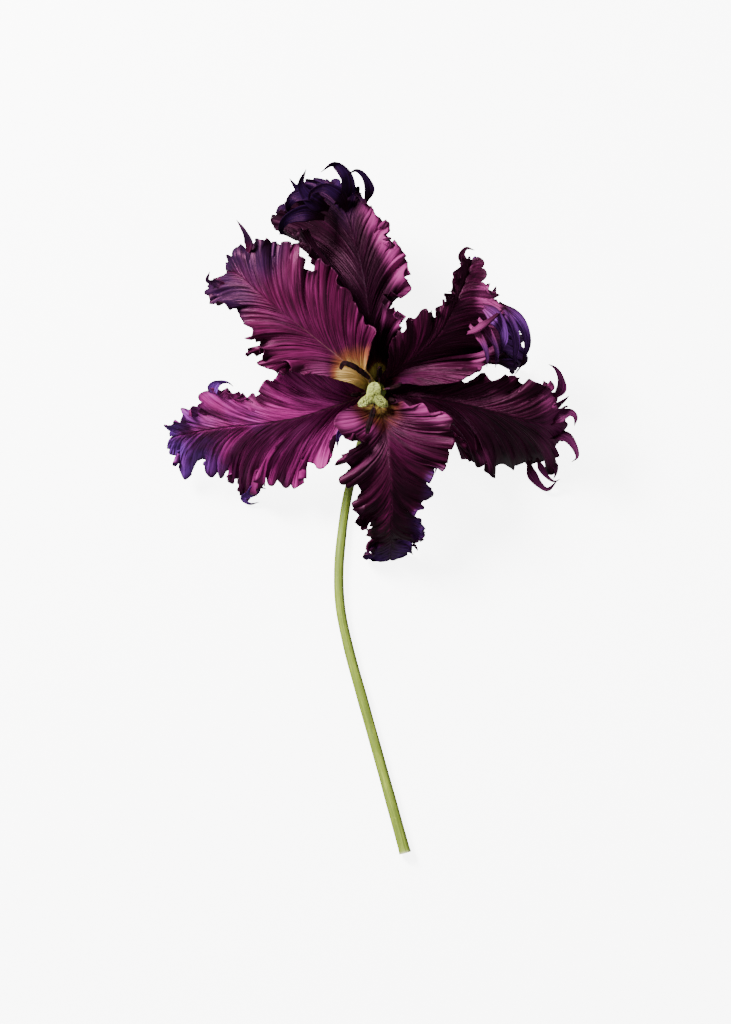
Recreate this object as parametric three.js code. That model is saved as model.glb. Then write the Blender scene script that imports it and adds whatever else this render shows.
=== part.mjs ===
// A cut parrot tulip, wide open, lying on its stem with its face up.
// Millimetres, +Z up. The stem lies along Y on the surface z = 0, bends up at its neck and
// carries the receptacle, on which stand six tepals, six stamens and the pistil.
// Plan coordinates are (x, y) from the middle of the whole cut flower; heights are above the surface.
import * as THREE from "three";
import { mergeVertices } from "three/addons/utils/BufferGeometryUtils.js";

// ---- driving dimensions ----
const CENTRE = new THREE.Vector2(3, 54); // the flower's axis in plan
const RECEPTACLE_Z = 22; // top of the stem, which carries the pistil
const RECEPTACLE_R = 4.2;
const STEM_R_CUT = 2.55; // at the cut end
const STEM_R_NECK = 2.0; // just below the receptacle
const STEM_SIDES = 12;
const STEM_RINGS = 44;
const TEPAL_THICK = 0.6;
const CLAW_R = 4.95; // radius at which each tepal leaves the receptacle
const CLAW_WRAP = 42; // degrees that a claw reaches round the receptacle to each side
const TEPAL_ROWS = 46; // steps along a tepal
const TEPAL_COLUMNS = 4; // steps from the midrib to each margin
const VEIN_LAG = 2.1; // veins leave the midrib behind the point of the margin that they feed
const VEIN_SWEEP = 0.5; // how far a vein first follows the midrib before it turns outwards
const GAP = 0.3; // between pieces that touch
const OVARY_R = 2.5;
const OVARY_TOP_Z = 38;
const FILAMENT_R = 0.5;
const FILAMENT_RING_R = 3.45;
const ANTHER_R = 1.15;

const COLOURS = {
  stem: 0xa3b552,
  tepal: 0x4a0f33,
  filament: 0x6b5a1e,
  anther: 0x1c0a1c,
  pistil: 0xb9c77a,
};

// ---- the six tepals ----
// rib: the midrib from the claw to the tip. left and right: the margins, in order from the
// claw to the tip, seen from the flower's centre looking outwards. Every point is [x, y, z].
const TEPALS = [
  {
    name: "tepal_upper_left",
    claw_z: 23,
    rib: [
      [-4, 61, 33], [-12, 67.5, 41], [-24, 77, 46], [-38, 88, 49.5], [-50, 98, 49], [-59, 106, 43],
      [-65, 107, 33],
    ],
    left: [
      [-4.3, 55.2, 31], [-8, 57, 40], [-14, 58.5, 45], [-20, 60, 49], [-30, 61.5, 53], [-36, 64, 52],
      [-41, 64.5, 50], [-44.5, 62, 53], [-48.5, 64, 54], [-51, 69, 50], [-49.5, 71.5, 48],
      [-55.5, 69.5, 51], [-49.5, 75, 49], [-56, 77, 49], [-52, 80, 49], [-58, 85, 47], [-60, 90, 45],
      [-63.5, 91, 44], [-68, 92, 42], [-72, 95, 38], [-73, 98.5, 35], [-70, 103, 36], [-66, 103, 40],
    ],
    right: [
      [0.4, 61.4, 31.5], [-1.5, 64, 40], [0, 70, 46], [1.5, 76, 51], [2.5, 80, 53], [-1, 83, 51],
      [-5, 90, 53], [-9, 98, 54], [-14, 104, 53], [-17.5, 111, 52], [-21, 114, 51], [-23.5, 109.5, 49],
      [-28, 107, 50], [-29.5, 114, 52], [-33, 120, 51], [-38, 120, 49], [-42, 121.5, 49],
      [-42, 118, 47], [-47, 122.5, 48], [-50, 120.5, 46], [-53, 119, 48], [-57, 119, 47],
      [-61, 117, 42], [-64, 112, 37],
    ],
  },
  {
    name: "tepal_top",
    claw_z: 20.4,
    rib: [
      [3.5, 66, 30], [2.5, 76, 37], [0, 88, 42], [-2, 102, 46], [-5, 116, 47.5], [-9, 129, 46.5],
      [-14, 140, 42], [-18, 149, 36],
    ],
    left: [
      [-2.1, 60.1, 24.2], [-3.5, 67, 32], [-5, 76, 38], [-9, 86, 41], [-18.5, 99, 43], [-23, 109, 45],
      [-28.5, 118, 45], [-31.5, 121, 43], [-32, 124.5, 38], [-36, 124, 29], [-40, 127, 17],
      [-42, 130, 7], [-41, 134, -1], [-38, 138, 3], [-34, 142, 17], [-31, 147, 29], [-25, 149, 36],
    ],
    right: [
      [8.1, 60.1, 24.2], [11, 66.5, 31.5], [13, 73, 37], [14, 78, 41], [14.5, 84, 43], [15, 89, 45],
      [11, 94, 50], [9, 97, 49], [12, 97.5, 45], [16, 100, 46], [18.5, 104, 48], [19.5, 108, 47],
      [17.5, 111.5, 45], [16.5, 115, 49], [13.5, 120, 50], [10.5, 124, 47], [10, 128, 48],
      [6, 131, 49], [4, 134.5, 46], [1.5, 138.5, 47], [-2, 140.5, 45], [-5, 143, 45], [-9, 147, 44],
    ],
  },
  {
    name: "tepal_upper_right",
    claw_z: 23,
    rib: [
      [11, 62, 32], [21, 69, 40.5], [31, 79, 46], [38, 92, 49], [43, 104, 48], [46, 113.5, 44],
    ],
    left: [
      [6.4, 62.1, 31.5], [8, 64, 37], [9, 70, 43], [10.5, 76.5, 48], [15, 80, 50], [16.5, 84.5, 51],
      [20, 86, 51], [25, 89.5, 52], [27, 89, 50], [29, 86.5, 48], [31, 91, 51], [33.5, 95, 52],
      [36, 99, 52], [39, 104, 51], [37.5, 106, 52], [40.5, 111.5, 50], [41, 115, 48],
    ],
    right: [
      [10.9, 55.4, 31], [16, 57, 36], [24, 56, 42], [32, 56.5, 46], [40, 57.5, 48], [46, 60, 48],
      [50, 63, 45], [52.5, 65, 37], [56, 65.5, 31], [60, 68, 27], [64.5, 65, 6], [66, 66, -1],
      [69, 70, 8], [71.5, 76, 18], [69.5, 80, 27], [65, 84, 34], [61.5, 87, 40], [61, 91, 43],
      [57, 93.5, 45], [58, 96.5, 46], [55, 99, 47], [51.5, 101, 48], [52, 106, 47], [51.5, 111, 46],
      [48.5, 114, 45],
    ],
  },
  {
    name: "tepal_right",
    claw_z: 20.4,
    rib: [
      [18, 51.5, 28.5], [30, 50, 34], [45, 47, 38], [60, 43, 38], [72, 40, 35], [82, 39, 29],
      [90, 40, 24],
    ],
    left: [
      [9.6, 58.6, 24.5], [15, 57, 28], [23, 61, 32], [33, 62, 35], [42, 60, 38], [48, 58, 41],
      [52, 60, 42], [57, 62, 43], [61, 61.5, 41], [66, 60.5, 40], [71, 57, 39], [75.5, 58.5, 40],
      [79, 56, 39], [82, 58, 40], [84, 54, 37], [85, 50, 35], [84, 48, 33], [88, 49, 32], [87, 44, 29],
    ],
    right: [
      [8.7, 48.3, 24.5], [16, 47, 29], [24, 43, 32], [32, 38, 32], [38, 33, 29], [41, 30, 25],
      [44, 24, 17], [47, 21.5, 12], [51, 22.5, 10], [54, 26, 13], [50.5, 29, 18], [55, 24, 11],
      [54.5, 19.5, 8], [57, 17, 6], [62, 17.5, 2], [66, 18.5, 1], [70, 19.5, 0], [73, 18, -1],
      [77, 20, -1], [81, 20, 1], [85, 21.5, 4], [84, 28, 12], [88, 33, 18], [89, 37, 21],
    ],
  },
  {
    name: "tepal_bottom",
    claw_z: 23,
    rib: [
      [6, 43, 33], [8, 33, 40], [9.5, 20, 42], [10, 6, 38], [10, -8, 28], [10, -17, 12],
      [9.5, -23, -1],
    ],
    left: [
      [9.1, 48.9, 30.5], [11, 47, 35], [15, 49, 41], [19, 46, 45], [24, 48, 47], [28, 43, 47],
      [33, 44, 47], [38, 41, 46], [39, 35, 44], [37.5, 28, 42], [35, 24, 40], [35, 20.5, 38],
      [31.5, 20, 37], [28, 16, 34], [26, 12, 31], [30, 8, 28], [24.5, 2.5, 26], [19.5, 0, 25],
      [24, -4, 21], [25, -9, 15], [21.5, -12.5, 11], [16.5, -11, 9], [20, -16, 3], [18.5, -19.5, -1],
    ],
    right: [
      [0.3, 46.5, 30.5], [-3, 48, 35], [-9, 46, 42], [-14, 43, 46], [-16, 38, 48], [-14.5, 33.5, 48],
      [-9.5, 30.5, 47], [-5.5, 28, 44], [-11, 25, 44], [-15.5, 21, 43], [-11, 18, 40], [-13.5, 14, 39],
      [-9, 11, 36], [-4, 9, 33], [-7.5, 4, 31], [-5, 1, 28], [-8.5, -1, 26], [-4, -4.5, 23],
      [0, -3.5, 23], [1, -7, 19], [-2, -11, 14], [0.5, -15, 10], [-1.5, -20, 0], [1, -22.5, -1],
    ],
  },
  {
    name: "tepal_left",
    claw_z: 20.4,
    rib: [
      [-8, 49.5, 28], [-18, 46, 35], [-32, 41.5, 39], [-48, 39, 40], [-64, 37.5, 36], [-78, 35.5, 30],
      [-90, 33, 20],
    ],
    left: [
      [-0.8, 46.9, 24.2], [-5.5, 41, 30], [-11.5, 36, 35], [-15.5, 34, 36], [-18, 30, 34],
      [-17, 24, 29], [-18.5, 21, 27], [-23, 19.5, 25], [-28, 22, 25], [-30.5, 23, 25], [-31, 17, 19],
      [-33, 12, 14], [-37, 11, 11], [-42, 13, 13], [-46, 13.5, 15], [-50, 17, 17], [-51, 12, 10],
      [-55, 7, -1.5], [-58, 9, -1.5], [-60, 13, 6], [-64, 17, 13], [-67, 15.5, 9], [-71, 17, 9],
      [-74, 21, 13], [-77, 22, 13], [-82.5, 16.5, 5], [-86, 21, 9], [-86, 26, 13], [-91, 27, 13],
    ],
    right: [
      [-4.6, 56.5, 24.2], [-8.5, 60, 29], [-14, 64.5, 35], [-24, 67, 39], [-33, 67, 41], [-41, 65, 42],
      [-44, 60, 40], [-48, 62, 42], [-49, 56, 40], [-53, 51, 38], [-58, 50, 39], [-61, 52, 41],
      [-64, 52, 42], [-68, 55, 44], [-72, 54.5, 43], [-76, 51, 41], [-76.5, 47, 37], [-80, 46, 36],
      [-85, 44, 34], [-88, 40, 30], [-92, 38, 25], [-90, 34, 22],
    ],
  },
];

// ---- the stem's centre line in plan, from the cut end to the neck ----
const STEM_PLAN = [
  [16.4, -155], [5, -113.6], [-3, -85], [-9.3, -62], [-13, -43.6], [-13.7, -27.5], [-12.3, -10.3], [-9.9, 6],
];
// ---- and its rise from the surface to the receptacle, [x, y, height of the centre] ----
const NECK = [
  [-6.5, 20, 2.2], [-2.9, 33, 2.6], [0.3, 43.4, 6.6], [2.2, 50.6, 12.4], [3, 53.8, 18], [3, 54, 22],
];

// ---- stamens: the direction of each foot from the axis, in degrees, and the path of each anther ----
const STAMENS = [
  {
    foot: 130,
    path: [[0.5, 59, 40], [-3.5, 62.3, 43], [-8, 65, 45.5], [-11.3, 65.8, 46], [-12.8, 63.3, 45.5]],
  },
  { foot: 265, path: [[2.2, 46.4, 41], [1.4, 43, 43], [0.1, 39, 45], [-0.9, 34.6, 46]] },
  { foot: 70, path: [[4.5, 59.8, 33], [4.6, 61.8, 37], [4.8, 64.3, 41]] },
  { foot: 10, path: [[9.4, 55, 32], [12, 55.7, 36.5], [14.2, 56.4, 40]] },
  { foot: 320, path: [[8.4, 50, 34], [10, 49.5, 38], [11.4, 49.2, 41.5]] },
  { foot: 190, path: [[-3.5, 52.5, 33], [-5.7, 52.1, 36], [-7.8, 51.7, 38.5]] },
];

// ---- the stigma's lobes: direction in degrees, reach beyond its core, and spread in degrees ----
const STIGMA_CENTRE = new THREE.Vector2(2, 51.4);
const STIGMA_CORE_R = 2.7;
const STIGMA_LOBES = [[86, 3.2, 49], [213, 5.2, 26], [322, 4.8, 29]];

const onPlan = (angle, radius, z) =>
  new THREE.Vector3(
    CENTRE.x + radius * Math.cos(THREE.MathUtils.degToRad(angle)),
    CENTRE.y + radius * Math.sin(THREE.MathUtils.degToRad(angle)),
    z,
  );

const smooth = (points) => new THREE.CatmullRomCurve3(points, false, "centripetal");

// A closed surface from rows of points, each row one closed ring, with a fan over each end.
function loft(rings) {
  const sides = rings[0].length;
  const centroid = (ring) => ring.reduce((sum, p) => sum.add(p), new THREE.Vector3()).divideScalar(sides);
  const points = [...rings.flat(), centroid(rings[0]), centroid(rings.at(-1))];
  const foot = rings.length * sides;
  const top = foot + 1;
  const lastRow = (rings.length - 1) * sides;
  const faces = [];
  for (let k = 0; k < sides; k++) {
    const next = (k + 1) % sides;
    faces.push(foot, next, k);
    faces.push(top, lastRow + k, lastRow + next);
    for (let row = 0; row < rings.length - 1; row++) {
      const [a, b] = [row * sides + k, row * sides + next];
      const [c, d] = [b + sides, a + sides];
      faces.push(a, b, c, a, c, d);
    }
  }
  return closed(points, faces);
}

// A merged BufferGeometry, its faces turned outwards, without triangles that have shrunk to a line.
function closed(points, faces) {
  const raw = new THREE.BufferGeometry().setFromPoints(points);
  raw.setIndex(faces);
  const merged = mergeVertices(raw, 1e-3);
  const index = Array.from(merged.index.array);
  const corner = (i) => new THREE.Vector3().fromBufferAttribute(merged.attributes.position, i);
  const kept = [];
  let volume = 0;
  for (let i = 0; i < index.length; i += 3) {
    const [a, b, c] = index.slice(i, i + 3);
    if (a === b || b === c || c === a) continue;
    kept.push([a, b, c]);
    volume += corner(a).dot(corner(b).cross(corner(c)));
  }
  merged.setIndex(kept.flatMap(([a, b, c]) => (volume < 0 ? [a, c, b] : [a, b, c])));
  return merged;
}

// Rings of a round section carried along a curve. The section keeps one side level, so that
// a stem on a surface has a flat facet under it.
function tubeRings(curve, steps, sides, radiusAt) {
  const rings = [];
  let across = new THREE.Vector3(1, 0, 0);
  for (let i = 0; i <= steps; i++) {
    const t = i / steps;
    const at = curve.getPointAt(t);
    const ahead = curve.getTangentAt(t);
    const level = new THREE.Vector3(ahead.y, -ahead.x, 0);
    if (level.lengthSq() > 1e-4) across = level.normalize();
    const up = across.clone().cross(ahead).normalize();
    const ring = [];
    for (let k = 0; k < sides; k++) {
      const turn = ((k + 0.5) / sides) * 2 * Math.PI;
      ring.push(
        at.clone()
          .addScaledVector(across, radiusAt(t) * Math.sin(turn))
          .addScaledVector(up, -radiusAt(t) * Math.cos(turn)),
      );
    }
    rings.push(ring);
  }
  return rings;
}

// ---- stem ----
function stem() {
  const lift = Math.cos(Math.PI / STEM_SIDES); // from the centre to a facet, as a share of the radius
  const taper = (t) => THREE.MathUtils.lerp(STEM_R_CUT, STEM_R_NECK, Math.min(1, t * 1.15));
  const flat = STEM_PLAN.map(([x, y]) => new THREE.Vector3(x, y, 0));
  const path = smooth([...flat, ...NECK.map((p) => new THREE.Vector3(...p))]);
  const swell = (t) => taper(t) + (RECEPTACLE_R - STEM_R_NECK) * THREE.MathUtils.smoothstep(t, 0.965, 0.995);
  const rings = tubeRings(path, STEM_RINGS, STEM_SIDES, swell);
  // The part that lies down is lifted until its lowest facet is on the surface.
  rings.forEach((ring, i) => {
    const t = i / STEM_RINGS;
    const centreZ = path.getPointAt(t).z;
    const rest = Math.max(0, taper(t) * lift - centreZ);
    ring.forEach((p) => (p.z += rest));
  });
  return loft(rings);
}

// ---- tepals ----
// The surface between a midrib and its two margins. Each vein is a quadratic Bezier curve: it
// leaves the midrib half along it and turns outwards to its own point of the margin.
function tepalGrid({ claw_z, rib, left, right }) {
  const ahead = THREE.MathUtils.radToDeg(Math.atan2(rib[0][1] - CENTRE.y, rib[0][0] - CENTRE.x));
  const foot = onPlan(ahead, CLAW_R, claw_z);
  const tip = new THREE.Vector3(...rib.at(-1));
  const spine = smooth([foot, ...rib.map((p) => new THREE.Vector3(...p))]);
  const margin = (points, side) => {
    const corner = onPlan(ahead + side * CLAW_WRAP, CLAW_R, claw_z);
    return smooth([corner, ...points.map((p) => new THREE.Vector3(...p)), tip]);
  };
  const margins = { 1: margin(left, 1), [-1]: margin(right, -1) };
  const rows = [];
  for (let i = 0; i <= TEPAL_ROWS; i++) {
    const u = i / TEPAL_ROWS;
    const root = spine.getPointAt(u ** VEIN_LAG);
    const along = spine.getTangentAt(u ** VEIN_LAG);
    const row = [];
    for (let j = -TEPAL_COLUMNS; j <= TEPAL_COLUMNS; j++) {
      const v = Math.abs(j) / TEPAL_COLUMNS;
      const end = margins[j < 0 ? 1 : -1].getPoint(u);
      const reach = root.distanceTo(end);
      const bend = root.clone().add(end).multiplyScalar(0.5 * (1 - VEIN_SWEEP))
        .addScaledVector(root, VEIN_SWEEP)
        .addScaledVector(along, VEIN_SWEEP * reach * 0.6);
      const point = root.clone().multiplyScalar((1 - v) ** 2)
        .addScaledVector(bend, 2 * v * (1 - v))
        .addScaledVector(end, v * v);
      point.z = Math.max(point.z, TEPAL_THICK / 2);
      row.push(point);
    }
    rows.push(row);
  }
  return rows;
}

// A thin closed shell round a grid of points: half the thickness to each side of it.
function shell(rows, thick) {
  const wide = rows[0].length;
  const last = rows.length - 1;
  const front = [];
  const back = [];
  rows.forEach((row, i) =>
    row.forEach((p, j) => {
      const dAlong = rows[Math.min(i + 1, last)][j].clone().sub(rows[Math.max(i - 1, 0)][j]);
      const dAcross = row[Math.min(j + 1, wide - 1)].clone().sub(row[Math.max(j - 1, 0)]);
      if (i === last) dAcross.copy(rows[i - 1][wide - 1]).sub(rows[i - 1][0]);
      if (i === last) dAlong.copy(p).sub(rows[i - 1][(wide - 1) / 2]);
      const normal = dAcross.cross(dAlong).normalize().multiplyScalar(thick / 2);
      front.push(p.clone().add(normal));
      back.push(p.clone().sub(normal));
    }),
  );
  [...front, ...back].forEach((p) => (p.z = Math.max(p.z, 0)));
  const count = front.length;
  const at = (i, j) => i * wide + j;
  const faces = [];
  const quad = (a, b, c, d) => faces.push(a, b, c, a, c, d);
  for (let i = 0; i < last; i++) {
    for (let j = 0; j < wide - 1; j++) {
      quad(at(i, j), at(i, j + 1), at(i + 1, j + 1), at(i + 1, j));
      quad(count + at(i, j), count + at(i + 1, j), count + at(i + 1, j + 1), count + at(i, j + 1));
    }
    quad(at(i, 0), at(i + 1, 0), count + at(i + 1, 0), count + at(i, 0));
    quad(at(i + 1, wide - 1), at(i, wide - 1), count + at(i, wide - 1), count + at(i + 1, wide - 1));
  }
  for (let j = 0; j < wide - 1; j++) {
    quad(at(0, j + 1), at(0, j), count + at(0, j), count + at(0, j + 1));
    quad(at(last, j), at(last, j + 1), count + at(last, j + 1), count + at(last, j));
  }
  return closed([...front, ...back], faces);
}

// ---- stamens ----
function filament({ foot, path }) {
  const start = onPlan(foot, FILAMENT_RING_R, RECEPTACLE_Z + GAP);
  const knee = onPlan(foot, FILAMENT_RING_R + 0.9, RECEPTACLE_Z + 7);
  const curve = smooth([start, knee, new THREE.Vector3(...path[0])]);
  return loft(tubeRings(curve, 6, 6, () => FILAMENT_R));
}

function anther({ path }) {
  const points = path.map((p) => new THREE.Vector3(...p));
  const ahead = points[1].clone().sub(points[0]).normalize();
  points[0].addScaledVector(ahead, GAP + FILAMENT_R);
  const plump = (t) => ANTHER_R * (0.35 + 0.65 * Math.sin(Math.PI * (0.12 + 0.8 * t)) ** 0.6);
  return loft(tubeRings(smooth(points), 10, 8, plump));
}

// ---- pistil ----
function ovary() {
  const rings = [];
  const profile = [[0, 0.85], [0.15, 1], [0.5, 1.05], [0.85, 0.9], [1, 0.8]];
  for (const [share, wide] of profile) {
    const z = THREE.MathUtils.lerp(RECEPTACLE_Z + GAP, OVARY_TOP_Z, share);
    const ring = [];
    for (let k = 0; k < 18; k++) {
      const turn = (k / 18) * 360;
      const threeSided = 1 + 0.08 * Math.cos(THREE.MathUtils.degToRad(3 * (turn - 90)));
      ring.push(onPlan(turn, OVARY_R * wide * threeSided, z));
    }
    rings.push(ring);
  }
  return loft(rings);
}

// Three blunt lobes that spread from the top of the ovary and droop a little at their ends.
function stigma() {
  const degreesApart = (a, b) => Math.abs(((a - b + 540) % 360) - 180);
  const reachAt = (turn) =>
    STIGMA_LOBES.reduce(
      (sum, [angle, reach, spread]) => sum + reach * Math.exp(-((degreesApart(turn, angle) / spread) ** 2.6)),
      STIGMA_CORE_R,
    );
  const profile = [[0, 0.3], [0.8, 0.75], [2.2, 1], [3.8, 0.9], [5.2, 0.5]];
  const rings = profile.map(([rise, wide]) =>
    Array.from({ length: 36 }, (_, k) => {
      const radius = reachAt(k * 10) * wide;
      const angle = THREE.MathUtils.degToRad(k * 10);
      return new THREE.Vector3(
        STIGMA_CENTRE.x + radius * Math.cos(angle),
        STIGMA_CENTRE.y + radius * Math.sin(angle),
        OVARY_TOP_Z + GAP + rise - (rise > 2 ? 0.03 * radius ** 2 : 0),
      );
    }),
  );
  return loft(rings);
}

// ---- the flower ----
function piece(name, geometry, colour, roughness) {
  const skin = new THREE.MeshStandardMaterial({ color: colour, roughness, metalness: 0 });
  const made = new THREE.Mesh(geometry, skin);
  made.name = name;
  return made;
}

const tulip = new THREE.Group();
tulip.add(piece("stem", stem(), COLOURS.stem, 0.6));
TEPALS.forEach((tepal) => {
  tulip.add(piece(tepal.name, shell(tepalGrid(tepal), TEPAL_THICK), COLOURS.tepal, 0.45));
});
STAMENS.forEach((stamen, i) => {
  tulip.add(piece(`filament_${i + 1}`, filament(stamen), COLOURS.filament, 0.6));
  tulip.add(piece(`anther_${i + 1}`, anther(stamen), COLOURS.anther, 0.7));
});
tulip.add(piece("ovary", ovary(), COLOURS.pistil, 0.6));
tulip.add(piece("stigma", stigma(), COLOURS.pistil, 0.7));

// The origin is the middle of the flower's box, on the surface that it lies on.
const box = new THREE.Box3().setFromObject(tulip);
const middle = box.getCenter(new THREE.Vector3());
tulip.children.forEach((mesh) => mesh.geometry.translate(-middle.x, -middle.y, -box.min.z));
export default tulip;
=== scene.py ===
"""A cut parrot tulip, wide open, lying face up on its own stem.

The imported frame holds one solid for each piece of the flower. This script makes the fine surface
of each piece over its solid: six fringed tepals, six stamens, the pistil and the stem. All shapes
are worked out in millimetres in the plan of the whole flower and end in the frame's metres.
"""

import logging
import math
from dataclasses import dataclass, field, replace
from enum import Enum
from typing import Any, Iterable, Optional, Sequence, Union

import bpy
import numpy as np
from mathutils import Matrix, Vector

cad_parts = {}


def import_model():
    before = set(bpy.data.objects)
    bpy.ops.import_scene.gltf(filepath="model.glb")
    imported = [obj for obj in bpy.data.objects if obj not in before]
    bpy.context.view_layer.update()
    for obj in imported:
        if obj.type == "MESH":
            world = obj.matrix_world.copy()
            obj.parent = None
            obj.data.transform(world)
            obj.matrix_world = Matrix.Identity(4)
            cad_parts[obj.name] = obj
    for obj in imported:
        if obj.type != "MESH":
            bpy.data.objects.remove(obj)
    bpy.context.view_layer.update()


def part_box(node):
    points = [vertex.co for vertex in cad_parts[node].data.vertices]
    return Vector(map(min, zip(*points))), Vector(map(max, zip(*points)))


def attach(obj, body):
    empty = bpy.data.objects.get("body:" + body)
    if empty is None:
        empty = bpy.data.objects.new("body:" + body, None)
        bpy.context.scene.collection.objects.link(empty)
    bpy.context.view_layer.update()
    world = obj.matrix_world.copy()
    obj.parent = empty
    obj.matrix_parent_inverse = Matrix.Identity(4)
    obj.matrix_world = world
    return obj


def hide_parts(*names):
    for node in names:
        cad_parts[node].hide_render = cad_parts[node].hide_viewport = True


LOG = logging.getLogger("tulip")
MM = 0.001
BODY = "root"

Array = np.ndarray
Point = tuple[float, float, float]
Colour = tuple[float, float, float]

AXIS = (3.0, 54.0)  # the flower's axis in plan
VIEW_CENTRE = (-1.6, -0.45)  # the place in plan that the camera looks down on
RECEPTACLE_TOP = 22.0  # height at which the pistil starts
CLAW_RADIUS = 4.4  # distance from the axis at which a tepal starts
CLAW_WRAP = math.radians(42.0)  # how far round the receptacle a claw reaches to each side
PISTIL_GAP = 0.3  # height of the pistil's and the filaments' feet over the receptacle
LOWEST = 0.05  # the lowest that a tepal's points may lie over the surface
TAU = 2.0 * math.pi


# ---------------------------------------------------------------- curves and grids


def unit(vectors: Array) -> Array:
    """Vectors divided by their lengths, along the last axis."""
    return vectors / np.maximum(np.linalg.norm(vectors, axis=-1, keepdims=True), 1e-9)


def smoothstep(low: float, high: float, value: Array) -> Array:
    """The cubic 3t^2 - 2t^3, with t running from 0 at low to 1 at high."""
    t = np.clip((value - low) / (high - low), 0.0, 1.0)
    return t * t * (3.0 - 2.0 * t)


def circle(sides: int) -> Array:
    """Evenly spaced angles, once round."""
    return np.linspace(0.0, TAU, sides, endpoint=False)


def unrolled(turn: Array, share: Array) -> Array:
    """A pair for each point of some rings: its share of the circle and the ring's share of the length."""
    return np.stack(np.broadcast_arrays(turn[None] / TAU, share[:, None]), axis=-1)


def running_mean(rows: Array, width: int) -> Array:
    """Rows of values smoothed by a running mean over a number of rows, their ends held."""
    padded = np.pad(rows, ((width // 2, width - width // 2 - 1), (0, 0)), mode="edge")
    box = np.ones(width) / width
    return np.stack([np.convolve(column, box, mode="valid") for column in padded.T], axis=-1)


class Curve:
    """A smooth curve through points: a centripetal Catmull-Rom spline in its Hermite form.

    The knots are spaced by the square root of the chord lengths, and each point's tangent is the
    mean of its two chords' slopes, weighted by the other chord's knot spacing.
    """

    def __init__(self, points: Iterable[Sequence[float]], table: int = 900) -> None:
        """Works out tangents and a table of arc length.

        Args:
            points: The points that the curve runs through.
            table: How many samples the arc length is summed over.
        """
        self.points = np.asarray(list(points), dtype=float)
        steps = np.linalg.norm(np.diff(self.points, axis=0), axis=1) ** 0.5
        self.steps = np.maximum(steps, 1e-6)
        slopes = np.diff(self.points, axis=0) / self.steps[:, None]
        before, after = self.steps[:-1, None], self.steps[1:, None]
        inner = (slopes[:-1] * after + slopes[1:] * before) / (before + after)
        self.tangents = np.concatenate([slopes[:1], inner, slopes[-1:]])
        self.share = np.linspace(0.0, 1.0, table)
        chords = np.linalg.norm(np.diff(self.by_knot(self.share), axis=0), axis=1)
        self.travelled = np.concatenate([[0.0], np.cumsum(chords)])
        self.length = float(self.travelled[-1])

    def by_knot(self, share: Array) -> Array:
        """Points at shares of the number of knots: p0 h00 + m0 h10 + p1 h01 + m1 h11."""
        place = np.clip(share, 0.0, 1.0) * (len(self.points) - 1)
        first = np.minimum(place.astype(int), len(self.points) - 2)
        t = (place - first)[..., None]
        step = self.steps[first][..., None]
        return (
            self.points[first] * (2 * t**3 - 3 * t**2 + 1)
            + self.tangents[first] * step * (t**3 - 2 * t**2 + t)
            + self.points[first + 1] * (3 * t**2 - 2 * t**3)
            + self.tangents[first + 1] * step * (t**3 - t**2)
        )

    def by_length(self, share: Array) -> Array:
        """Points at shares of the arc length."""
        return self.by_knot(np.interp(share, self.travelled / self.length, self.share))

    def heading(self, share: Array, reach: float = 0.004) -> Array:
        """Unit tangents at shares of the arc length, from two points a little apart."""
        ahead = self.by_length(np.minimum(share + reach, 1.0))
        return unit(ahead - self.by_length(np.maximum(share - reach, 0.0)))


@dataclass
class Patch:
    """A closed surface in millimetres, with the values that its material reads.

    Args:
        points: One row of x, y, z for each vertex.
        faces: Vertex numbers of each face, three or four to a face.
        uv: One pair for each vertex.
        masks: One number for each vertex, under each mask's name.
    """

    points: Array
    faces: list[list[int]]
    uv: Array
    masks: dict[str, Array] = field(default_factory=dict)

    @staticmethod
    def joined(patches: Sequence["Patch"]) -> "Patch":
        """One patch that holds all of the given ones side by side."""
        starts = np.concatenate([[0], np.cumsum([len(p.points) for p in patches])])
        names = sorted({name for p in patches for name in p.masks})
        return Patch(
            np.concatenate([p.points for p in patches]),
            [[i + int(s) for i in face] for p, s in zip(patches, starts) for face in p.faces],
            np.concatenate([p.uv for p in patches]),
            {
                name: np.concatenate([p.masks.get(name, np.zeros(len(p.points))) for p in patches])
                for name in names
            },
        )


def strip_faces(near: Array, far: Array) -> Array:
    """Quads between two rows of vertex numbers, each turned the same way."""
    return np.stack([near[:-1], near[1:], far[1:], far[:-1]], axis=-1).reshape(-1, 4)


def normals_of(grid: Array) -> Array:
    """Unit normals of a grid of points: the cross product of its two directions."""
    along = np.gradient(grid, axis=0)
    across = np.gradient(grid, axis=1)
    return unit(np.cross(across, along))


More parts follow.
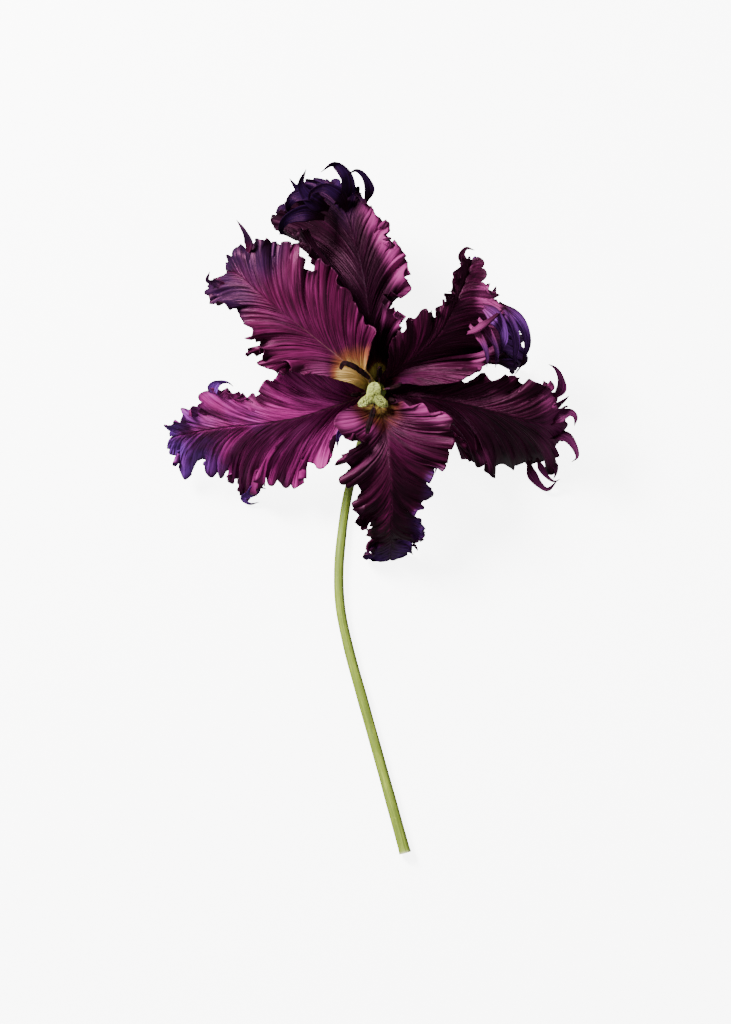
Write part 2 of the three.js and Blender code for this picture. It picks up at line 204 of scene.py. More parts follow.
def shell(grid: Array, thickness: Array, uv: Array, masks: dict[str, Array], floor: float) -> Patch:
    """A thin closed shell: the grid moved half its thickness each way along its normal, and a rim.

    Args:
        grid: Rows and columns of points.
        thickness: The shell's thickness at each point of the grid.
        uv: A pair for each point of the grid.
        masks: A number for each point of the grid, by name.
        floor: The lowest height that a point may have.

    Returns:
        The shell, with one more mask, back, which is 1 on its underside.
    """
    rows, columns = grid.shape[:2]
    offset = normals_of(grid) * thickness[..., None] / 2.0
    points = np.concatenate([(grid + offset).reshape(-1, 3), (grid - offset).reshape(-1, 3)])
    points[:, 2] = np.maximum(points[:, 2], floor)
    front = np.arange(rows * columns).reshape(rows, columns)
    back = front + rows * columns
    a, b, c, d = front[:-1, :-1], front[:-1, 1:], front[1:, 1:], front[1:, :-1]
    top = np.stack([a, b, c, d], axis=-1).reshape(-1, 4)
    under = np.stack([a, d, c, b], axis=-1).reshape(-1, 4) + rows * columns
    rims = [
        strip_faces(front[0][::-1], back[0][::-1]),
        strip_faces(front[-1], back[-1]),
        strip_faces(front[:, 0], back[:, 0]),
        strip_faces(front[::-1, -1], back[::-1, -1]),
    ]
    both = {name: np.tile(mask.ravel(), 2) for name, mask in masks.items()}
    both["back"] = np.repeat([0.0, 1.0], rows * columns)
    faces = np.concatenate([top, under, *rims]).tolist()
    return Patch(points, faces, np.tile(uv.reshape(-1, 2), (2, 1)), both)


def tube(rings: Array, uv: Array, masks: Optional[dict[str, Array]] = None) -> Patch:
    """A closed tube from rows of ring points, with a fan of triangles over each end.

    Args:
        rings: Rings by ring points by x, y, z; each ring turns anticlockwise seen from its front.
        uv: A pair for each ring point.
        masks: A number for each ring point, by name.

    Returns:
        The tube, closed at both ends.
    """
    count, sides = rings.shape[:2]
    index = np.arange(count * sides).reshape(count, sides)
    wrap = np.concatenate([index, index[:, :1]], axis=1)
    a, b, c, d = wrap[:-1, :-1], wrap[:-1, 1:], wrap[1:, 1:], wrap[1:, :-1]
    walls = np.stack([a, b, c, d], axis=-1).reshape(-1, 4).tolist()
    foot, head = count * sides, count * sides + 1
    foot_fan = np.stack([np.full(sides, foot), wrap[0, 1:], wrap[0, :-1]], axis=-1).tolist()
    head_fan = np.stack([np.full(sides, head), wrap[-1, :-1], wrap[-1, 1:]], axis=-1).tolist()
    ends = np.stack([rings[0].mean(axis=0), rings[-1].mean(axis=0)])
    points = np.concatenate([rings.reshape(-1, 3), ends])
    pairs = np.concatenate([uv.reshape(-1, 2), uv[0, :1], uv[-1, :1]])
    values = {
        name: np.concatenate([mask.ravel(), mask[0, :1], mask[-1, :1]])
        for name, mask in (masks or {}).items()
    }
    return Patch(points, walls + foot_fan + head_fan, pairs, values)


def carried_rings(curve: Curve, shares: Array, side: Array, across: Array, up: Array) -> Array:
    """A section carried along a curve.

    Each ring point is the curve's point plus its across value times a level direction, plus its up
    value times the direction square to both. The level direction is the side vector less its part
    along the curve.

    Args:
        curve: The path.
        shares: Shares of the arc length, one for each ring.
        side: A vector that is nowhere parallel to the path.
        across: Rings by ring points, in millimetres.
        up: Rings by ring points, in millimetres.

    Returns:
        Rings by ring points by x, y, z.
    """
    heading = curve.heading(shares)
    level = unit(side - (heading @ side)[:, None] * heading)
    rise = np.cross(level, heading)
    middle = curve.by_length(shares)[:, None]
    return middle + across[..., None] * level[:, None] + up[..., None] * rise[:, None]


# ---------------------------------------------------------------- shader maths

Term = Union["Signal", float]


class Signal:
    """A shader value that adds Math nodes when it is used in arithmetic."""

    def __init__(self, shader: "Shader", socket: bpy.types.NodeSocket) -> None:
        """Wraps an output socket of a shader's tree."""
        self.shader = shader
        self.socket = socket

    def math(self, operation: str, other: Term) -> "Signal":
        """This value and another through one Math node."""
        return self.shader.math(operation, self, other)

    def __add__(self, other: Term) -> "Signal":
        """Sum."""
        return self.math("ADD", other)

    def __radd__(self, other: Term) -> "Signal":
        """Sum, with this value second."""
        return self.math("ADD", other)

    def __sub__(self, other: Term) -> "Signal":
        """Difference."""
        return self.math("SUBTRACT", other)

    def __rsub__(self, other: Term) -> "Signal":
        """Difference, with this value second."""
        return self.shader.math("SUBTRACT", other, self)

    def __mul__(self, other: Term) -> "Signal":
        """Product."""
        return self.math("MULTIPLY", other)

    def __rmul__(self, other: Term) -> "Signal":
        """Product, with this value second."""
        return self.math("MULTIPLY", other)

    def between(self, low: float, high: float) -> "Signal":
        """0 at low and 1 at high, smooth between and level outside."""
        span = self.shader.node(
            "ShaderNodeMapRange",
            {"interpolation_type": "SMOOTHSTEP"},
            {"Value": self, "From Min": low, "From Max": high},
        )
        return Signal(self.shader, span.outputs["Result"])


class Shader:
    """Builds the node tree of one material round a Principled BSDF."""

    def __init__(self, name: str) -> None:
        """Starts an empty material with a Principled BSDF and its output."""
        self.material = bpy.data.materials.new(name)
        self.material.use_nodes = True
        self.tree = self.material.node_tree
        self.tree.nodes.clear()
        self.surface = self.node("ShaderNodeBsdfPrincipled", {}, {})
        self.node("ShaderNodeOutputMaterial", {}, {"Surface": self.surface.outputs["BSDF"]})

    def node(self, kind: str, settings: dict[str, Any], sockets: dict[Any, Any]) -> bpy.types.Node:
        """Adds a node.

        Args:
            kind: The node's type.
            settings: Properties of the node, set before its sockets.
            sockets: A number, a colour, a Signal or an output socket for each named input.

        Returns:
            The node.
        """
        made = self.tree.nodes.new(kind)
        for key, value in settings.items():
            setattr(made, key, value)
        for key, value in sockets.items():
            self.feed(made.inputs[key], value)
        return made

    def feed(self, socket: bpy.types.NodeSocket, value: Any) -> None:
        """Links a socket to a Signal or an output, or sets its own value."""
        if isinstance(value, Signal):
            value = value.socket
        if isinstance(value, bpy.types.NodeSocket):
            self.tree.links.new(value, socket)
        elif isinstance(value, tuple) and len(value) == 3 and socket.type == "RGBA":
            socket.default_value = (*value, 1.0)
        else:
            socket.default_value = value

    def math(self, operation: str, first: Term, second: Term) -> Signal:
        """One Math node on two values."""
        made = self.node("ShaderNodeMath", {"operation": operation}, {0: first, 1: second})
        return Signal(self, made.outputs[0])

    def mask(self, name: str) -> Signal:
        """A mask that the mesh carries."""
        made = self.node("ShaderNodeAttribute", {"attribute_name": name}, {})
        return Signal(self, made.outputs["Fac"])

    def place(self, source: str, scale: Point) -> bpy.types.NodeSocket:
        """Texture coordinates, UV or Object, multiplied axis by axis."""
        start = self.node("ShaderNodeTexCoord", {}, {})
        made = self.node("ShaderNodeMapping", {}, {"Vector": start.outputs[source], "Scale": scale})
        return made.outputs["Vector"]

    def noise(self, place: bpy.types.NodeSocket, scale: float, detail: float, rough: float) -> Signal:
        """Smooth noise about 0.5 at a place."""
        sockets = {"Vector": place, "Scale": scale, "Detail": detail, "Roughness": rough}
        made = self.node("ShaderNodeTexNoise", {}, sockets)
        return Signal(self, made.outputs["Fac"])

    def streaks(self, across: float, along: float, detail: float = 3.0, rough: float = 0.6) -> Signal:
        """Noise in the surface's own UV, drawn out into lines."""
        return self.noise(self.place("UV", (across, along, 1.0)), 1.0, detail, rough)

    def grains(self, scale: float, rough: float = 0.5) -> Signal:
        """Noise of the same size in all directions, at a number of cells to the metre."""
        return self.noise(self.place("Object", (1.0, 1.0, 1.0)), scale, 2.0, rough)

    def mix(self, factor: Term, first: Any, second: Any) -> bpy.types.NodeSocket:
        """A blend from the first colour, at factor 0, to the second, at factor 1."""
        sockets = {"Factor": factor, 6: first, 7: second}
        made = self.node("ShaderNodeMix", {"data_type": "RGBA"}, sockets)
        return made.outputs[2]

    def dress(self, **sockets: Any) -> bpy.types.Material:
        """Feeds the surface's sockets, named with underscores for spaces, and returns the material."""
        for key, value in sockets.items():
            self.feed(self.surface.inputs[key.replace("_", " ")], value)
        return self.material

    def relief(self, height: Signal, strength: float, distance: float) -> bpy.types.NodeSocket:
        """A bumped normal from a height."""
        sockets = {"Height": height, "Strength": strength, "Distance": distance}
        return self.node("ShaderNodeBump", {}, sockets).outputs["Normal"]


# ---------------------------------------------------------------- finishes


@dataclass(frozen=True)
class PetalFinish:
    """Satin petal skin: streaked along its veins, warm at the claw and violet at the tips, with pink
    highlights painted on.

    Args:
        name: The material's name.
        deep: Colour between the veins' ridges.
        body: Colour of the skin.
        light: Colour of the paler streaks.
        tip: Colour of the horns and outer tips.
        ink: Colour of the last of the margin.
        claw: Colour round the flower's centre.
        ember: Colour between the claw and the body.
        rib: Colour of the thin line along the midrib.
        blush: Colour of the pink satin highlights painted on the skin.
        shine: Specular level.
        claw_reach: How far the claw's colours spread, from 0 to 1.
        violet: How strongly the tip's colour shows.
    """

    name: str
    deep: Colour
    body: Colour
    light: Colour
    tip: Colour
    ink: Colour
    claw: Colour
    ember: Colour
    rib: Colour
    blush: Colour
    shine: float
    claw_reach: float
    violet: float

    def material(self) -> bpy.types.Material:
        """Builds the material."""
        shader = Shader(self.name)
        fine = shader.streaks(170.0, 2.4)
        broad = shader.streaks(42.0, 1.5, 2.0, 0.5)
        cloud = shader.grains(70.0)
        streak = fine * 0.62 + broad * 0.38
        claw = shader.mask("claw")
        tip = shader.mask("tip")
        edge = shader.mask("edge")
        colour = shader.mix(streak.between(0.36, 0.56), self.deep, self.body)
        colour = shader.mix((streak + cloud * 0.3).between(0.62, 0.82) * 0.75, colour, self.light)
        tipped = shader.mix(streak.between(0.36, 0.6), self.ink, self.tip)
        # Painted highlight: a pink satin highlight is mixed into the colour at the masked places, broken up
        # by the streaks.
        highlight_paint = (shader.mask("blush") + (streak - 0.5) * 1.1).between(0.15, 0.95)
        colour = shader.mix(highlight_paint * 0.9, colour, self.blush)
        bloom = (tip * 1.1 + (cloud - 0.5) * 0.9).between(0.15, 0.95)
        colour = shader.mix(bloom * self.violet, colour, tipped)
        warm = claw + (streak - 0.5) * 0.75
        start = 1.0 - self.claw_reach
        colour = shader.mix(warm.between(start, start + 0.28) * 0.9, colour, self.ember)
        colour = shader.mix(warm.between(start + 0.2, start + 0.5), colour, self.claw)
        colour = shader.mix(shader.mask("rib") * 0.55, colour, self.rib)
        colour = shader.mix((edge + (streak - 0.5) * 0.5).between(0.55, 1.05) * 0.8, colour, self.ink)
        colour = shader.mix(shader.mask("back") * 0.45, colour, self.body)
        height = streak + edge * cloud * 0.3
        return shader.dress(
            Base_Color=colour,
            Roughness=0.36 + cloud * 0.14 + streak * 0.1,
            Normal=shader.relief(height, 0.8, 0.0009),
            Specular_IOR_Level=self.shine,
            Specular_Tint=(1.0, 0.3, 0.65, 1.0),
            Sheen_Weight=0.03,
            Sheen_Roughness=0.35,
            Sheen_Tint=(0.9, 0.35, 0.7, 1.0),
        )


@dataclass(frozen=True)
class StemFinish:
    """Green stem skin with fine lengthwise lines, pale at the cut end."""

    name: str = "stem_skin"
    green: Colour = (0.155, 0.215, 0.012)
    pale: Colour = (0.26, 0.33, 0.024)
    shade: Colour = (0.1, 0.145, 0.014)
    pith: Colour = (0.75, 0.76, 0.45)

    def material(self) -> bpy.types.Material:
        """Builds the material."""
        shader = Shader(self.name)
        lines = shader.streaks(46.0, 9.0)
        bloom = shader.streaks(5.0, 22.0)
        specks = shader.grains(900.0, 0.6)
        colour = shader.mix(lines.between(0.38, 0.62), self.shade, self.green)
        colour = shader.mix((lines * 0.5 + bloom * 0.5).between(0.48, 0.66) * 0.8, colour, self.pale)
        colour = shader.mix(specks.between(0.6, 0.72) * 0.4, colour, self.pale)
        colour = shader.mix(shader.mask("cut"), colour, self.pith)
        return shader.dress(
            Base_Color=colour,
            Roughness=0.42 + bloom * 0.2,
            Normal=shader.relief(lines * 0.8 + specks * 0.2, 0.5, 0.0004),
            Specular_IOR_Level=0.45,
        )


@dataclass(frozen=True)
class FilamentFinish:
    """Waxy stalk, yellow at its foot and dark towards the anther."""

    name: str = "filament_wax"
    foot: Colour = (0.5, 0.36, 0.05)
    head: Colour = (0.05, 0.008, 0.03)

    def material(self) -> bpy.types.Material:
        """Builds the material."""
        shader = Shader(self.name)
        grain = shader.grains(700.0)
        darkened = (shader.mask("along") + (grain - 0.5) * 0.3).between(0.25, 0.8)
        return shader.dress(
            Base_Color=shader.mix(darkened, self.foot, self.head),
            Roughness=0.35 + grain * 0.2,
            Normal=shader.relief(grain, 0.2, 0.0002),
        )


@dataclass(frozen=True)
class AntherFinish:
    """Powdery purple-black anther skin with darker grooves and grains of pollen."""

    name: str = "anther_powder"
    dark: Colour = (0.002, 0.0002, 0.0006)
    plum: Colour = (0.009, 0.001, 0.003)
    dust: Colour = (0.022, 0.005, 0.006)

    def material(self) -> bpy.types.Material:
        """Builds the material."""
        shader = Shader(self.name)
        grain = shader.grains(2200.0, 0.6)
        patch = shader.grains(420.0)
        colour = shader.mix(patch.between(0.4, 0.62), self.dark, self.plum)
        colour = shader.mix(grain.between(0.58, 0.68) * 0.6, colour, self.dust)
        return shader.dress(
            Base_Color=colour,
            Roughness=0.65 + grain * 0.2,
            Normal=shader.relief(grain, 0.5, 0.0003),
            Specular_IOR_Level=0.06,
        )


@dataclass(frozen=True)
class PistilFinish:
    """Pale yellow-green pistil, granular; paler still on its grains and, as a painted highlight, over the
    top of the stigma's dome and ridges, less in its creases.
    """

    name: str = "pistil_green"
    green: Colour = (0.11, 0.125, 0.016)
    pale: Colour = (0.4, 0.44, 0.11)
    shade: Colour = (0.04, 0.038, 0.005)

    def material(self) -> bpy.types.Material:
        """Builds the material."""
        shader = Shader(self.name)
        grain = shader.grains(1500.0, 0.6)
        patch = shader.grains(380.0)
        colour = shader.mix(patch.between(0.35, 0.6), self.shade, self.green)
        # Painted highlight: paler towards the top of the stigma's dome and away from its creases, and on
        # the grains.
        raised = (shader.mask("crest") * 0.8 + grain * 0.4).between(0.42, 1.0)
        colour = shader.mix(raised, colour, self.pale)
        return shader.dress(
            Base_Color=colour,
            Roughness=0.5 + grain * 0.2,
            Normal=shader.relief(grain, 0.6, 0.0005),
            Subsurface_Weight=0.1,
            Subsurface_Radius=(1.0, 0.8, 0.3),
            Subsurface_Scale=0.001,
        )


@dataclass(frozen=True)
class FloorFinish:
    """Plain pale floor, lit from within like a light table."""

    name: str = "pale_floor"
    colour: Colour = (0.9, 0.9, 0.9)
    glow: float = 6.0

    def material(self) -> bpy.types.Material:
        """Builds the material."""
        shader = Shader(self.name)
        return shader.dress(
            Base_Color=self.colour,
            Roughness=0.9,
            Specular_IOR_Level=0.1,
            Emission_Color=(1.0, 1.0, 1.0, 1.0),
            Emission_Strength=self.glow,
        )


MAGENTA = PetalFinish(
    name="petal_magenta",
    deep=(0.009, 0.0003, 0.004),
    body=(0.04, 0.0012, 0.017),
    light=(0.1, 0.007, 0.052),
    tip=(0.006, 0.0014, 0.016),
    ink=(0.003, 0.0006, 0.004),
    claw=(0.56, 0.37, 0.12),
    ember=(0.24, 0.07, 0.03),
    rib=(0.36, 0.17, 0.17),
    blush=(0.2, 0.035, 0.12),
    shine=0.27,
    claw_reach=0.54,
    violet=0.95,
)
MAROON = PetalFinish(
    name="petal_maroon",
    deep=(0.003, 0.0001, 0.0014),
    body=(0.014, 0.0002, 0.0055),
    light=(0.04, 0.0015, 0.02),
    tip=(0.06, 0.014, 0.15),
    ink=(0.002, 0.0004, 0.002),
    claw=(0.3, 0.23, 0.045),
    ember=(0.06, 0.012, 0.006),
    rib=(0.02, 0.001, 0.007),
    blush=(0.2, 0.024, 0.115),
    shine=0.2,
    claw_reach=0.42,
    violet=0.9,
)


class Tone(Enum):
    """The skins of the six tepals of this flower."""

    MAGENTA = MAGENTA
    ROSE = replace(
        MAGENTA,
        name="petal_rose",
        deep=(0.02, 0.0006, 0.01),
        body=(0.15, 0.007, 0.08),
        light=(0.26, 0.03, 0.16),
        tip=(0.12, 0.03, 0.28),
    )
    # A darker, less shiny copy of the maroon skin for the top tepal: partly its own darker tone, partly
    # painted shade that keeps it dark where it faces the key light.
    MAROON_PAINTED_SHADE = replace(
        MAROON,
        name="petal_maroon_painted_shade",
        deep=(0.0008, 0.0, 0.0004),
        body=(0.004, 0.0, 0.0018),
        light=(0.013, 0.0005, 0.007),
        tip=(0.008, 0.002, 0.025),
        shine=0.12,
    )
    MAROON = MAROON
    WINE = replace(MAROON, name="petal_wine", tip=(0.075, 0.006, 0.05), blush=(0.14, 0.016, 0.08))
    GRAPE = replace(MAROON, name="petal_grape", tip=(0.15, 0.038, 0.27), blush=(0.27, 0.04, 0.16))


# ---------------------------------------------------------------- tepals


@dataclass(frozen=True)
class Horn:
    """A narrow curled point of a tepal's margin.

    Args:
        path: Points from inside the margin to the tip.
        width: Its width at its foot, in millimetres.
        violet: How strongly the tip's colour shows on it.
        highlight_paint: How strongly a pale pink highlight is painted on its foot.
        rings: How many sections it is made of.
        sides: How many points a section has.
        taper: The power with which it narrows to its tip.
        hollow: Depth of its trough, as a share of half its width.
        ridge: Height of its ridges, as a share of the section.
        ripple: Height of its ripples, as a share of the section.
        sunk: How far its foot lies under the blade.
    """

    path: tuple[Point, ...]
    width: float
    violet: float = 1.0
    highlight_paint: float = 0.0

    rings: int = 44
    sides: int = 24
    taper: float = 1.35
    hollow: float = 0.45
    ridge: float = 0.09
    ripple: float = 0.06
    sunk: float = 1.6

    def patch(self) -> Patch:
        """A tapered trough along the path, its foot sunk into the blade.

        Half the width falls with 1 - s^taper to the tip, and grows from 0.3 of itself at the foot.
        The section is a flat ellipse bent to a trough by hollow cos^2 a, with its width in the
        plane of the hook. Ridges of cos 5a run along it, and ripples across.
        """
        curve = Curve(self.path)
        s = np.linspace(0.0, 1.0, self.rings)
        turn = circle(self.sides)
        first, last = curve.points[1] - curve.points[0], curve.points[-1] - curve.points[-2]
        plane = np.cross(first, last) + np.array([0.0, 0.0, 1e-3])
        side = unit(plane if plane[2] >= 0 else -plane)
        grown = smoothstep(0.0, 0.34, s)
        half = 0.56 * self.width * (1.0 - s**self.taper) * (0.3 + 0.7 * grown) + 0.1
        thick = 0.12 + 0.16 * half
        across = thick[:, None] * np.sin(turn) + self.hollow * half[:, None] * np.cos(turn) ** 2
        waves = 1.0 + self.ridge * np.cos(5 * turn)[None]
        waves = waves + self.ripple * np.sin(13.0 * s[:, None] + 3.0 * np.cos(turn)[None])
        rings = carried_rings(curve, s, side, across * waves, half[:, None] * np.cos(turn) * waves)
        rings[..., 2] -= self.sunk * (1.0 - grown)[:, None]
        uv = np.stack(np.broadcast_arrays(np.cos(turn)[None] / 24.0, s[:, None] * 0.4 + 0.6), axis=-1)
        ones = np.ones(rings.shape[:2])
        masks = {
            "tip": ones * self.violet * smoothstep(-0.1, 0.6, s)[:, None],
            "edge": ones * s[:, None] ** 1.5,
            # A pink highlight painted on the horn's foot, fading towards its tip.
            "blush": ones * self.highlight_paint * (1.0 - smoothstep(0.2, 0.9, s))[:, None],
        }
        made = tube(rings, uv, masks)
        made.points[:, 2] = np.maximum(made.points[:, 2], LOWEST)
        return made


@dataclass(frozen=True)
class Spot:
    """A soft round place on a tepal, in plan, at which one of its masks grows.

    Args:
        x: Its middle in plan.
        y: Its middle in plan.
        radius: The distance at which it has faded to 1/e.
        strength: The mask's value in its middle.
    """

    x: float
    y: float
    radius: float
    strength: float = 1.0

    def at(self, points: Array) -> Array:
        """Its strength times exp(-(d / radius)^2), with d the distance in plan."""
        away = np.hypot(points[..., 0] - self.x, points[..., 1] - self.y)
        return self.strength * np.exp(-((away / self.radius) ** 2))

    @staticmethod
    def total(spots: Sequence["Spot"], points: Array) -> Array:
        """The sum of some spots, 0 where there are none."""
        return sum((spot.at(points) for spot in spots), np.zeros(points.shape[:-1]))


@dataclass
class Half:
    """One half of a tepal: rows go from its claw to its tip, columns from the midrib to the margin.

    Args:
        grid: Points.
        wave: How far each point is moved along the normal.
        gap: Distance from the midrib.
        v: Share of the way from the midrib to the margin.
    """

    grid: Array
    wave: Array
    gap: Array
    v: Array


@dataclass(frozen=True)
class Tepal:
    """One fringed tepal: a surface between a midrib and two margins.

    Seen from the flower's centre looking outwards, left and right are its two margins. Every vein
    is a quadratic Bezier curve that leaves the midrib along it and turns out to the margin.

    Args:
        node: The CAD node that it replaces.
        tone: Its skin.
        slot: The record's material slot.
        claw_z: The height at which it leaves the receptacle.
        rib: Points of the midrib, from near the claw to the tip.
        left: Points of the left margin, from the claw to the tip.
        right: Points of the right margin, from the claw to the tip.
        horns: Its curled points.
        seed: Seed of its own waves and teeth.
        violet_from: The share of the length at which violet starts to show.
        warmth: How strongly the claw's yellow shows, from 0 to 1.
        highlight_paint: Places at which a pale pink highlight is painted on the skin, mostly on the
            margin's rolled lobes and the cupped base.
        dusk: Places at which the skin is violet.
        honey: Places at which the claw's yellow shows.
        roll: How far the left and the right margin's lobes roll up, on the whole.
        rows: How many veins each side has.
        columns: How many steps there are along a vein.
        vein_lag: The power by which veins crowd towards the midrib's foot.
        vein_sweep: How strongly veins start out along the midrib, from 0 to 1.
        tooth: Length of margin that a lobe takes.
        cut: The deepest cut between two lobes.
        most_teeth: More lobes than any margin has.
        thick: The blade's thickness at its midrib.
        last_row: The share of the margin's length at which the last vein meets it.
        rolled: The share of a vein at which its margin starts to roll.
        roll_radius: The radius of a roll where a lobe's curl is 1.
        roll_width: The longest that a roll is.
    """

    node: str
    tone: Tone
    slot: str
    claw_z: float
    rib: tuple[Point, ...]
    left: tuple[Point, ...]
    right: tuple[Point, ...]
    horns: tuple[Horn, ...]
    seed: int
    violet_from: float = 0.6
    warmth: float = 1.0
    highlight_paint: tuple[Spot, ...] = ()
    dusk: tuple[Spot, ...] = ()
    honey: tuple[Spot, ...] = ()
    roll: tuple[float, float] = (0.0, 0.0)

    rows: int = 420
    columns: int = 40
    vein_lag: float = 2.1
    vein_sweep: float = 0.5
    tooth: float = 6.2
    cut: float = 4.4
    most_teeth: int = 200
    thick: float = 0.55
    last_row: float = 0.992
    rolled: float = 0.7
    roll_radius: float = 2.6
    roll_width: float = 6.5

    def claw(self, sign: float) -> tuple[Point, Point]:
        """The midrib's foot and the margin's, on the receptacle."""
        ahead = math.atan2(self.rib[0][1] - AXIS[1], self.rib[0][0] - AXIS[0])
        foot, corner = (
            (AXIS[0] + CLAW_RADIUS * math.cos(a), AXIS[1] + CLAW_RADIUS * math.sin(a), self.claw_z)
            for a in (ahead, ahead + sign * CLAW_WRAP)
        )
        return foot, corner

    def ends(self, border: Curve, q: Array) -> tuple[Array, float]:
        """Where the veins meet the margin, and the margin's length.

        The margin is met by the length of a smoothed copy of it, so that its teeth don't spread
        the veins.
        """
        share = np.linspace(0.0, 1.0, 1600)
        calm = running_mean(border.by_knot(share), 120)
        steps = np.linalg.norm(np.diff(calm, axis=0), axis=1) + 1e-4
        travelled = np.concatenate([[0.0], np.cumsum(steps)])
        return border.by_knot(np.interp(q, travelled / travelled[-1], share)), travelled[-1]

    def side(self, margin: tuple[Point, ...], sign: float, rng: np.random.Generator) -> Half:
        """One half of the tepal.

        Args:
            margin: The margin's points.
            sign: 1 for the left side and -1 for the right.
            rng: Source of the side's lobes and waves.

        Returns:
            The half, not waved yet.
        """
        foot, corner = self.claw(sign)
        spine = Curve([foot, *self.rib])
        q = np.linspace(0.0, self.last_row, self.rows)
        root = spine.by_length(q**self.vein_lag)
        heading = spine.heading(q**self.vein_lag)
        end, length = self.ends(Curve([corner, *margin, self.rib[-1]]), q)
        # Lobes: |sin|^0.42 has round lobes and sharp cuts, and each cut has its own depth.
        place = q * length / self.tooth + np.interp(q, np.linspace(0, 1, 9), rng.uniform(0, 1.6, 9))
        cell = np.floor(place).astype(int)
        depths = rng.uniform(0.25, 1.0, self.most_teeth) * self.cut
        curls = 0.75 * rng.uniform(-1.0, 1.0, self.most_teeth) + self.roll[0 if sign > 0 else 1]
        lobe = np.abs(np.sin(math.pi * place)) ** 0.42
        depth = np.where(place - cell < 0.5, depths[cell], depths[cell + 1])
        grown = smoothstep(0.2, 0.38, q)
        at_tip = smoothstep(0.0, 0.12, 1.0 - q)
        curl = curls[cell] * lobe * grown * at_tip
        outward = unit(end - root)
        end = end - outward * (depth * (1.0 - lobe) * grown - 1.6 * np.abs(curl))[:, None]
        # Veins: (1-v)^2 root + 2v(1-v) bend + v^2 end.
        v = np.linspace(0.0, 1.0, self.columns + 1) ** 0.9
        reach = np.linalg.norm(end - root, axis=1)
        bend = 0.5 * (1 - self.vein_sweep) * (root + end)
        bend = bend + self.vein_sweep * (root + heading * (0.6 * reach)[:, None])
        w = v[None, :, None]
        grid = (1 - w) ** 2 * root[:, None] + 2 * w * (1 - w) * bend[:, None] + w**2 * end[:, None]
        # The margin rolls with a constant curvature k: after s along the vein it has gone
        # sin(ks)/k outwards and (1 - cos(ks))/k upwards.
        run = np.clip((v[None, :] - self.rolled) / (1.0 - self.rolled), 0.0, 1.0)
        s = run * np.minimum((1.0 - self.rolled) * reach, self.roll_width)[:, None]
        turned = curl[:, None] / self.roll_radius * s
        out = unit(end - bend)
        up = unit(np.cross(out, np.gradient(root, axis=0) + np.gradient(running_mean(end, 41), axis=0)))
        up = up * np.sign(up[:, 2:])
        grid = (
            grid
            + (s * (np.sinc(turned / math.pi) - 1.0))[..., None] * out[:, None]
            + (s * turned / 2.0 * np.sinc(turned / TAU) ** 2)[..., None] * up[:, None]
        )
        # Waves: sums of two sines along the margin, each pair with its own wavelengths.
        along = q * length
        phase = rng.uniform(0, TAU, 6)

        def pair(first: float, second: float, share: float, number: int) -> Array:
            """Two sines with their wavelengths, the second one scaled."""
            one = np.sin(TAU * along / first + phase[number])
            return (one + share * np.sin(TAU * along / second + phase[number + 1]))[:, None]

        vv = v[None, :]
        wave = (grown * at_tip)[:, None] * (
            1.7 * pair(17.0, 10.3, 0.6, 0) * vv**2.2
            + 0.22 * pair(6.1, 4.3, 0.7, 2) * vv**1.3
            + 1.1 * (lobe[:, None] - 0.6) * vv**3
        )
        started = smoothstep(0.02, 0.25, vv) * smoothstep(0.0, 0.1, q)[:, None]
        wave = wave + 0.1 * pair(2.3, 3.1, 0.8, 4) * started
        gap = reach[:, None] * vv
        crease = -0.55 * np.exp(-((gap / 1.3) ** 2)) * smoothstep(0.05, 0.3, q)[:, None]
        return Half(grid, wave + crease, gap, np.broadcast_to(vv, gap.shape))

    def patch(self) -> Patch:
        """The two sides joined at the midrib, waved, thickened and given their horns."""
        rng = np.random.default_rng(self.seed)
        left = self.side(self.left, 1.0, rng)
        right = self.side(self.right, -1.0, rng)

        def across(key: str, mirror: float = 1.0) -> Array:
            """A value of the two halves side by side, the left one turned round."""
            turned = mirror * getattr(left, key)[:, ::-1]
            return np.concatenate([turned, getattr(right, key)[:, 1:]], axis=1)

        grid, v, gap = across("grid"), across("v"), across("gap")
        q = np.broadcast_to(np.linspace(0.0, self.last_row, self.rows)[:, None], v.shape)
        normals = normals_of(grid)
        grid = grid + normals * across("wave")[..., None] * np.sign(normals[..., 2:])
        uv = np.stack([q, across("v", -1.0)], axis=-1)
        distance = np.linalg.norm(grid[..., :2] - np.array(AXIS), axis=-1)
        yellow = self.warmth * (1.0 - smoothstep(4.0, 46.0, distance + 6.0 * v))
        violet = smoothstep(self.violet_from, 1.0, q) * (0.35 + 0.65 * v)
        masks = {
            "claw": yellow + Spot.total(self.honey, grid),
            "tip": violet + Spot.total(self.dusk, grid) * (0.3 + 0.7 * v),
            # Where a pink highlight is painted on the skin.
            "blush": Spot.total(self.highlight_paint, grid),
            "edge": v**7 * smoothstep(0.25, 0.6, q),
            "rib": np.exp(-((gap / 0.35) ** 2)) * (1.0 - smoothstep(0.3, 0.9, q)),
        }
        blade = shell(grid, self.thick * (1.0 - 0.45 * v**2), uv, masks, LOWEST)
        return Patch.joined([blade, *(horn.patch() for horn in self.horns)])


